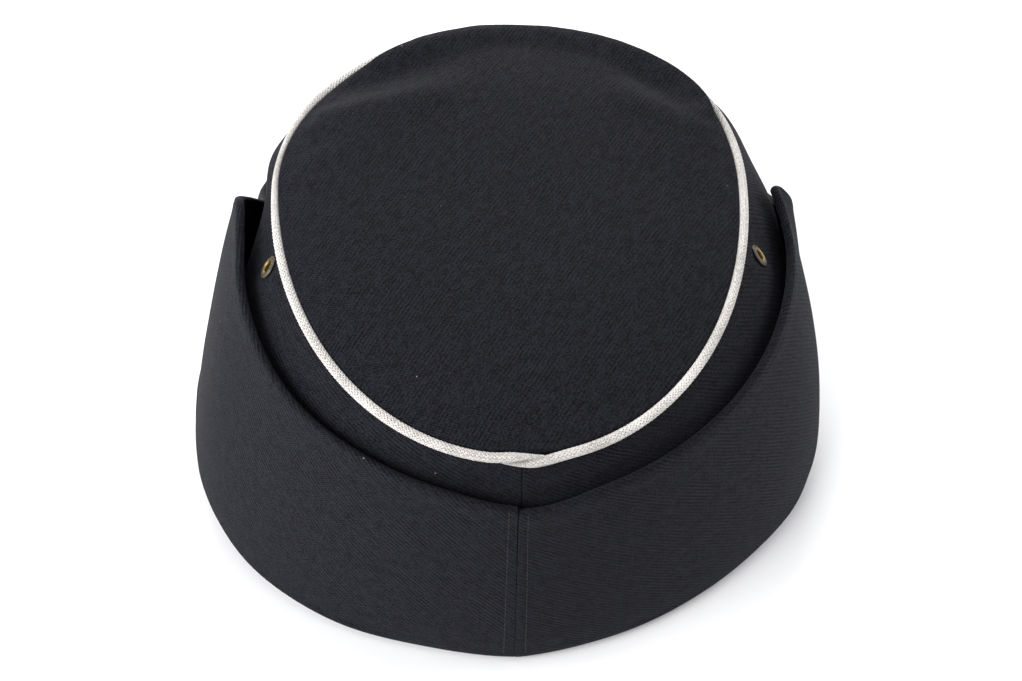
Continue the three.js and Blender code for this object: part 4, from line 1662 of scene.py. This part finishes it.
@dataclass
class Flap:
    """One half of the turned-up flap, with its seam's topstitching at the back and its lap at the front.

    Its methods take bearings from the back towards the half's own side, from 0 to past 180.
    """

    form: CapForm
    side: Side
    lap_length: float = 14.0
    lap_start: float = 0.7
    lap_join: float = 0.14
    lap_ramp_start: float = 148.0
    lap_ramp_end: float = 168.0
    lap_foot_clearance: float = 0.6
    lap_tuck: float = 0.8
    rim_round: float = 1.2
    rim_roll: float = 0.22
    rim_roll_depth: float = 2.2
    rim_roll_width: float = 1.8
    seam_round: float = 0.25
    seam_least: float = 0.8
    seam_x: float = 1.4
    seam_puff: float = 0.12
    seam_puff_middle: float = 1.6
    seam_puff_width: float = 0.8
    girth_radius: float = 88.0
    end_radius: float = 90.0
    stitch_line: float = 2.8
    stitch_dip: float = 0.16
    stitch_dip_width: float = 0.45
    stitch_pitch: float = 0.002
    stitch_length: float = 0.00194
    stitch_radius: float = 0.0001
    stitch_depth: float = -0.02
    seam_row: StitchRow = StitchRow(5, 1.5, 60)
    lap_stitch_line: float = 4.0
    lap_row: StitchRow = StitchRow(2, 4, 40)
    broad_ripple: Ripple = Ripple(31, 58, 0.4)
    ripple_start: float = 2.0
    ripple_end: float = 12.0
    fine_ripple: Ripple = Ripple(32, 19, 0.06)
    fold_ripple: Ripple = Ripple(33, 30, 0.25)
    cloth_start: float = 3.1
    column_step: float = 0.72
    lap_step: float = 0.7
    foot_rows: int = 6
    fold_rows: int = 10
    wall_rows: int = 62

    @property
    def seam_angle(self) -> float:
        """Where this half begins, in degrees from the back towards its own side."""
        return self.side.value * math.degrees(self.seam_x / self.form.fold.left)

    @property
    def lap_angle(self) -> float:
        """How far the lap goes on past the front, in degrees."""
        return math.degrees(self.lap_length / self.form.fold.left)

    def spread(self, bearing: np.ndarray) -> np.ndarray:
        """How far the left half steps out to lie over the right half at the front."""
        offset = LAP_OFFSET if self.side is Side.LEFT else 0.0
        return offset * smoothstep(bearing, self.lap_ramp_start, self.lap_ramp_end)

    def relief(self, bearing: np.ndarray, height: np.ndarray, points: np.ndarray) -> np.ndarray:
        """How far the flap's wall stands out from its plain shape.

        Args:
            bearing: Bearings from the back.
            height: Heights over the fold.
            points: The wall's plain points.

        Returns:
            The distance at each point.
        """
        from_seam = np.radians(bearing - self.seam_angle) * self.girth_radius
        rising = smoothstep(height, self.ripple_start, self.ripple_end)
        out = self.broad_ripple.at(points) * rising + self.fine_ripple.at(points)
        out = out - self.stitch_dip * bell(from_seam, self.stitch_line, self.stitch_dip_width)
        out = out + self.seam_puff * bell(from_seam, self.seam_puff_middle, self.seam_puff_width)
        roll_at = self.top(bearing) - self.rim_roll_depth
        return out + self.rim_roll * bell(height, roll_at, self.rim_roll_width)

    def top(self, bearing: np.ndarray) -> np.ndarray:
        """The height of the rim."""
        tuck = self.lap_tuck if self.side is Side.RIGHT else 0.0
        return self.form.rim(signed(self.side.value * bearing))[..., 2] - tuck

    def skin(self, bearing: np.ndarray, height: np.ndarray, depth: float = 0.0) -> np.ndarray:
        """Points of the flap's wall with its unevenness.

        Args:
            bearing: Bearings from the back.
            height: Heights over the fold.
            depth: How deep under the outer face.

        Returns:
            The points.
        """
        bearing, height = np.broadcast_arrays(bearing, height)
        at = signed(self.side.value * bearing)
        plain = self.form.flap_wall(at, height, -self.spread(bearing))
        out = self.relief(bearing, height, plain) - depth
        return plain + self.form.fold.outward(at) * out[..., None]

    def faces(self, bearing: float, heights: np.ndarray) -> np.ndarray:
        """The wall's outer and inner points at a bearing, at heights over the fold."""
        return np.array([self.skin(bearing, heights, depth) for depth in (0.0, self.form.flap_cloth)])

    def foot(self, bearing: float) -> np.ndarray:
        """The section's rows from the foot's inner edge to the top of the fold.

        Args:
            bearing: A bearing from the back.

        Returns:
            The outer and the inner points.
        """
        form = self.form
        at = signed(self.side.value * bearing)
        out = form.fold.outward(at)
        edge = form.fold.point(at) + out * self.spread(bearing)
        cloth, radius = form.flap_cloth, form.fold_radius
        deep = form.crown_inset + form.crown_cloth + self.spread(bearing) - self.rim_round
        flat = np.linspace(deep, radius, self.foot_rows, endpoint=False)
        turn = np.linspace(0, math.pi / 2, self.fold_rows)
        sag = self.fold_ripple.at(edge) * np.sin(turn) ** 2
        rows = []
        for depth in (0.0, cloth):
            bend = radius - depth
            inset = np.concatenate([flat, depth + bend * (1 - np.sin(turn)) - sag])
            row = edge - out * inset[:, None]
            row[:, 2] = np.concatenate([np.full_like(flat, depth), depth + bend * (1 - np.cos(turn))])
            rows.append(row)
        return np.array(rows)

    def section(self, bearing: float) -> np.ndarray:
        """One section through the flap, which has no foot where the lap goes on past the front.

        Args:
            bearing: A bearing from the back.

        Returns:
            The outer and the inner points, from the bottom to the rim.
        """
        form = self.form
        rim = self.top(bearing) - self.rim_round
        if bearing <= 180 - self.lap_start:
            start, foot = form.fold_radius, self.foot(bearing)
        else:
            lower = form.gap if self.side is Side.LEFT else form.flap_cloth + self.lap_foot_clearance
            start = lower + self.rim_round + 1
            foot = self.faces(bearing, np.linspace(start - 1, start, self.foot_rows + self.fold_rows))
        wall = self.faces(bearing, np.linspace(start, rim, self.wall_rows + 1)[1:])
        return np.concatenate([foot, wall], 1)

    def build(self, finishes: Finishes, stitches: bpy.types.NodeTree) -> None:
        """Builds the half, sews its topstitching and dresses both.

        Args:
            finishes: The cap's finishes.
            stitches: The tree that sews a row of stitches.
        """
        form, sign = self.form, self.side.value
        footed = fine_steps(self.seam_angle, 180 - self.lap_start, self.column_step)
        lap = fine_steps(180 - self.lap_join, 180 + self.lap_angle, self.lap_step)
        bearings = np.concatenate([footed, lap])
        sheet = ThickSheet(*np.stack([self.section(bearing) for bearing in bearings], 1))
        from_end = np.radians(np.minimum(bearings - bearings[0], bearings[-1] - bearings)) * self.end_radius
        sheet.pinch_ends(from_end, self.seam_round, self.seam_least)
        behind = (bearings <= 180)[:, None]
        for face in (sheet.outer, sheet.inner):
            clear = sign * np.maximum(sign * face[..., 0], sign * self.seam_x)
            face[..., 0] = np.where(behind, clear, face[..., 0])
            face[..., 2] = np.maximum(face[..., 2], form.floor_z(face[..., 1]))
        flat = FlatCloth(start=sign * self.cloth_start, turn=GRAIN_TURNS[self.side])
        name = f"flap_cloth_{self.side.label}"
        piece_of(sheet.mesh(form, flat), name, Slot.TWILL, finishes.band, f"flap_{self.side.label}")
        self.sew(finishes, stitches, bearings[-1])

    def stitch_path(self, bearing: float, row: StitchRow) -> np.ndarray:
        """The points that a row of topstitching follows up the wall, in the row frame."""
        heights = np.linspace(row.start, self.top(bearing) - row.below_rim, row.steps)
        return self.form.place(self.skin(bearing, heights, self.stitch_depth))

    def sew(self, finishes: Finishes, stitches: bpy.types.NodeTree, last: float) -> None:
        """Sews the topstitching beside the back seam and along the lap's edge.

        Args:
            finishes: The cap's finishes.
            stitches: The tree that sews a row of stitches.
            last: The bearing of the lap's edge.
        """
        beside = self.seam_angle + math.degrees(self.stitch_line / self.girth_radius)
        paths = [self.stitch_path(beside, self.seam_row)]
        if self.side is Side.LEFT:
            inset = last - math.degrees(self.lap_stitch_line / self.girth_radius)
            paths.append(self.stitch_path(inset, self.lap_row))
        values = {
            "Thread": finishes.thread,
            "Pitch": self.stitch_pitch,
            "Stitch Length": self.stitch_length,
            "Thread Radius": self.stitch_radius,
        }
        mesh = along_paths(stitches, paths, values)
        piece_of(mesh, f"flap_stitches_{self.side.label}", Slot.TWILL, finishes.thread)


@dataclass
class Peak:
    """The peak: a stiff cloth-covered crescent sewn under the front of the fold, with a stitched edge.

    Its lines run from the bend at the fold to the edge; a line's share is -1 at one end of the crescent and 1
    at the other.
    """

    form: CapForm
    half_angle: float = 53.0
    reach: float = 60.0
    reach_power: float = 0.62
    fan: float = 0.1
    cloth: float = 3.0
    root_inset: float = 8.0
    bend_offset: float = 3.8
    bow: float = 2.2
    lift_start: float = 0.5
    shortest: float = 1.5
    ripple: Ripple = Ripple(41, 40, 0.18)
    ripple_start: float = 0.2
    stitch_inset: float = 5.0
    stitch_end: float = 0.9
    stitch_steps: int = 160
    columns: int = 150
    root_rows: int = 5
    rows: int = 46
    row_power: float = 0.9

    def bearing(self, share: float) -> float:
        """The bearing at which a line starts."""
        return signed(180 - self.half_angle * share)

    def length(self, share: float) -> float:
        """How far a line reaches."""
        return max(self.shortest, self.reach * max(0.0, 1 - share * share) ** self.reach_power)

    def line(self, share: float, steps: np.ndarray) -> np.ndarray:
        """The peak's upper face along one line.

        Args:
            share: The line's share.
            steps: 0 at the bend and 1 at the edge.

        Returns:
            The points.
        """
        form = self.form
        at, reach = self.bearing(share), self.length(share)
        ahead = unit(np.array([self.fan * math.sin(math.radians(at)), -1.0, 0.0]))
        bend = form.fold.point(at) + form.fold.outward(at) * self.bend_offset
        edge = bend + ahead * reach
        lift = smoothstep(abs(share), self.lift_start, 1)
        edge_top = (form.floor_z(edge[1]) + self.cloth) * (1 - lift) - form.gap * lift
        rise = self.bow * np.sin(math.pi * steps) * (reach / self.reach)
        line = bend + (edge - bend) * steps[:, None]
        line[:, 2] = -form.gap * (1 - steps) + (edge_top + rise) * steps
        return line

    def build(self, finishes: Finishes, stitches: bpy.types.NodeTree) -> None:
        """Builds the peak, sews its edge and dresses both.

        Args:
            finishes: The cap's finishes.
            stitches: The tree that sews a row of stitches.
        """
        form = self.form
        steps = np.linspace(0, 1, self.rows)
        insets = np.linspace(self.root_inset, 0, self.root_rows)
        lines = []
        for share in np.sin(np.linspace(-math.pi / 2, math.pi / 2, self.columns)):
            root = form.fold.point(np.full_like(insets, self.bearing(share)), insets) - [0, 0, form.gap]
            lines.append(np.concatenate([root, self.line(share, steps**self.row_power)]))
        top = np.array(lines)
        relief = self.ripple.at(top)[:, self.root_rows :] * smoothstep(steps, 0, self.ripple_start)
        top[:, self.root_rows :, 2] += relief
        under = top - [0, 0, self.cloth]
        for face in (top, under):
            face[..., 2] = np.maximum(face[..., 2], form.floor_z(face[..., 1]))
        mesh = ThickSheet(top, under, bulge=0.9).mesh(form, LevelCloth())
        piece_of(mesh, "peak_cloth", Slot.TWILL, finishes.top, "peak")
        self.sew(finishes, stitches)

    def sew(self, finishes: Finishes, stitches: bpy.types.NodeTree) -> None:
        """Sews a row of stitches inside the peak's edge.

        Args:
            finishes: The cap's finishes.
            stitches: The tree that sews a row of stitches.
        """
        shares = np.linspace(-self.stitch_end, self.stitch_end, self.stitch_steps)
        steps = [1 - self.stitch_inset / self.length(share) for share in shares]
        path = [self.line(share, np.array([step]))[0] for share, step in zip(shares, steps)]
        mesh = along_paths(stitches, [self.form.place(path)], {"Thread": finishes.thread})
        piece_of(mesh, "peak_stitches", Slot.TWILL, finishes.thread)


@dataclass
class Piping:
    """The braid round the crown's seam, whose two tapered ends cross at the back."""

    form: CapForm
    radius: float = 1.4
    seat: float = 0.14
    height: float = 1.2
    overlap: float = 4.6
    blend: float = 12.0
    taper: float = 7.5
    taper_power: float = 0.8
    least: float = 0.1
    squeeze: float = 0.34
    squeeze_bearing: float = 99.0
    squeeze_width: float = 17.0
    steps: int = 700
    upper_turn: float = 50.0
    lower_out: float = 1.95
    lower_up: float = -0.1

    def build(self, finishes: Finishes) -> None:
        """Builds the braid and dresses it."""
        form = self.form
        bearing = np.linspace(self.overlap, -360 - self.overlap, self.steps)
        from_start, from_end = self.overlap - bearing, bearing + 360 + self.overlap
        lower = 1 - smoothstep(from_start, self.overlap, self.blend + self.overlap)
        upper = 1 - smoothstep(from_end, self.overlap, self.blend + self.overlap)
        edge_up = form.crown_cloth + form.gap
        arm_out, arm_up = self.radius + self.seat, self.height - edge_up
        turn = np.radians(upper * self.upper_turn)
        out = arm_out * np.cos(turn) - arm_up * np.sin(turn)
        up = edge_up + arm_out * np.sin(turn) + arm_up * np.cos(turn)
        out = out + (self.lower_out - out) * lower
        up = up + (self.lower_up - up) * lower
        wrapped = signed(bearing)
        squeezed = self.squeeze * bell(wrapped, self.squeeze_bearing, self.squeeze_width)
        path = form.seam.point(wrapped)
        path[:, 2] = form.seam_z(path[:, 1]) + up
        path = path + form.seam.outward(wrapped) * (out - self.radius * squeezed)[:, None]
        whole = np.clip(np.minimum(from_start, from_end) / self.taper, 0, 1) ** self.taper_power
        girth = (self.least + (1 - self.least) * whole) * (1 - squeezed)
        mesh = along_paths(braid_tree(), [form.place(path)], {"Thread": finishes.braid}, girth)
        piece_of(mesh, "crown_braid", Slot.BRAID, finishes.braid, "crown_piping")


@dataclass
class FrontButton:
    """A front button: a shallow dome with a rim, and a shank through the buttonhole."""

    form: CapForm
    number: int
    height: float
    radius: float = 6.0
    dome: float = 2.6
    shoulder: float = 1.3
    shank: float = 1.5
    seat: float = 0.45
    crown_share: float = 0.86
    crown_steps: int = 11
    rim: tuple[Turned, ...] = (
        Turned(0.8, 0.0),
        Turned(0.2, 0.2),
        Turned(0.0, 0.6),
        Turned(0.15, 1.1),
        Turned(0.45, 1.25),
        Turned(0.7, 1.15),
    )
    sides: int = 64

    def build(self, finishes: Finishes) -> None:
        """Builds the button and dresses it."""
        form = self.form
        lower, base, upper = form.flap_wall(180, self.height + np.array([-1, 0, 1]), -LAP_OFFSET)
        slope = upper - lower
        way = form.place(base + unit(np.array([0, -slope[2], slope[1]]))) - form.place(base)
        crown_radius, rise = self.radius * self.crown_share, self.dome - self.shoulder
        crown = [
            (crown_radius * math.cos(t), self.shoulder + rise * math.sin(t))
            for t in np.linspace(0, math.pi / 2, self.crown_steps, endpoint=False)
        ]
        rim = [(self.radius - row.inset, row.up) for row in self.rim]
        profile = [
            (0, -form.flap_cloth),
            (self.shank, -form.flap_cloth),
            (self.shank, self.seat),
            *((r, self.seat + up) for r, up in (*rim, *crown, (0, self.dome))),
        ]
        mesh = lathed(profile, self.sides, seat_matrix(form.place(base), way))
        name = f"button_dome_{self.number}"
        piece_of(mesh, name, Slot.BUTTON, finishes.button, f"front_button_{self.number}")


@dataclass(frozen=True)
class Lamp:
    """A soft square lamp that looks at the cap."""

    name: str
    place: tuple[float, float, float]
    size: float
    power: float


@dataclass
class Studio:
    """A plain pale floor, soft light and the camera at the photograph's angle."""

    form: CapForm
    camera_at: tuple[float, float, float] = (25.2, 365.8, 468.4)
    camera_target: tuple[float, float, float] = (-2.09, 0.0, 13.63)
    camera_roll: float = math.radians(2.163)
    lens: float = 67.5
    sensor: float = 36.0
    floor_size: float = 6.0
    floor_colour: Colour = (0.95, 0.95, 0.96, 1)
    floor_grain: Colour = (0.93575, 0.93575, 0.9456, 1)
    room_colour: Colour = (0.97, 0.98, 1.0, 1)
    room_strength: float = 0.30
    lamp_target: tuple[float, float, float] = (0.0, 0.0, 0.04)
    lamps: tuple[Lamp, ...] = (
        Lamp("left_window", (1.3, 0.1, 0.5), 1.0, 13.5),
        Lamp("left_back_window", (0.9, 0.9, 0.7), 1.0, 21.0),
        Lamp("front_window", (0.0, -1.3, 0.7), 1.0, 23.0),
        Lamp("right_window", (-1.25, -0.35, 0.6), 1.0, 14.0),
        Lamp("ceiling", (0.0, 0.0, 1.7), 1.6, 6.0),
    )

    def build(self) -> None:
        """Builds the floor, the lights and the camera."""
        self.floor()
        self.light()
        self.camera()
        log.info("studio: floor, lights and camera")

    def floor(self) -> None:
        """Lays the floor, with a faint grain."""
        half = self.floor_size / 2
        corners = [(-half, -half, 0), (half, -half, 0), (half, half, 0), (-half, half, 0)]
        mesh = bpy.data.meshes.new("floor")
        mesh.from_pydata(corners, [], [(0, 1, 2, 3)])
        material, nodes, shader = blank_material("pale_floor")
        grain = nodes.noise(nodes.add("ShaderNodeTexCoord").outputs["Object"], 8.0)
        colour = nodes.mix(grain, self.floor_grain, self.floor_colour)
        nodes.feed(shader, {"Base Color": colour, "Roughness": 0.9, "Specular IOR Level": 0.1})
        mesh.materials.append(material)
        placed("floor", mesh)

    def light(self) -> None:
        """Sets the soft light of a white room with large windows."""
        world = bpy.data.worlds.new("white_room")
        world.use_nodes = True
        looks = {"Color": self.room_colour, "Strength": self.room_strength}
        Nodes(world.node_tree).feed(world.node_tree.nodes["Background"], looks)
        bpy.context.scene.world = world
        for lamp in self.lamps:
            light = bpy.data.lights.new(lamp.name, "AREA")
            light.shape = "SQUARE"
            light.size = lamp.size
            light.energy = lamp.power
            holder = placed(lamp.name, light)
            holder.location = lamp.place
            ahead = Vector(self.lamp_target) - Vector(lamp.place)
            holder.rotation_euler = ahead.to_track_quat("-Z", "Y").to_euler()
        bpy.context.scene.view_settings.view_transform = "Standard"

    def camera(self) -> None:
        """Sets the camera where the photograph was taken from."""
        place, target = (Vector(self.form.place(spot)) for spot in (self.camera_at, self.camera_target))
        data = bpy.data.cameras.new("camera")
        data.sensor_width = self.sensor
        data.lens = self.lens
        ahead = (target - place).normalized()
        level_up = Vector((0, math.sin(self.form.tilt), math.cos(self.form.tilt)))
        right = ahead.cross(level_up).normalized()
        up = right.cross(ahead)
        c, s = math.cos(self.camera_roll), math.sin(self.camera_roll)
        right, up = c * right + s * up, c * up - s * right
        camera = placed("camera", data)
        camera.matrix_world = Matrix.Translation(place) @ Matrix((right, up, -ahead)).transposed().to_4x4()
        bpy.context.scene.camera = camera


def main() -> None:
    """Builds the cap round its frame, in order."""
    logging.basicConfig(level=logging.INFO, format="%(name)s: %(message)s")
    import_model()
    form = CapForm()
    finishes = Finishes()
    stitches = stitch_tree()
    Studio(form).build()
    CrownTop(form).build(finishes)
    for side in Side:
        CrownWall(form, side).build(finishes)
        Eyelet(form, side).build(finishes)
        Flap(form, side).build(finishes, stitches)
    Peak(form).build(finishes, stitches)
    Piping(form).build(finishes)
    for number, height in enumerate(BUTTON_HEIGHTS, 1):
        FrontButton(form, number, height).build(finishes)


if __name__ == "__main__":
    main()
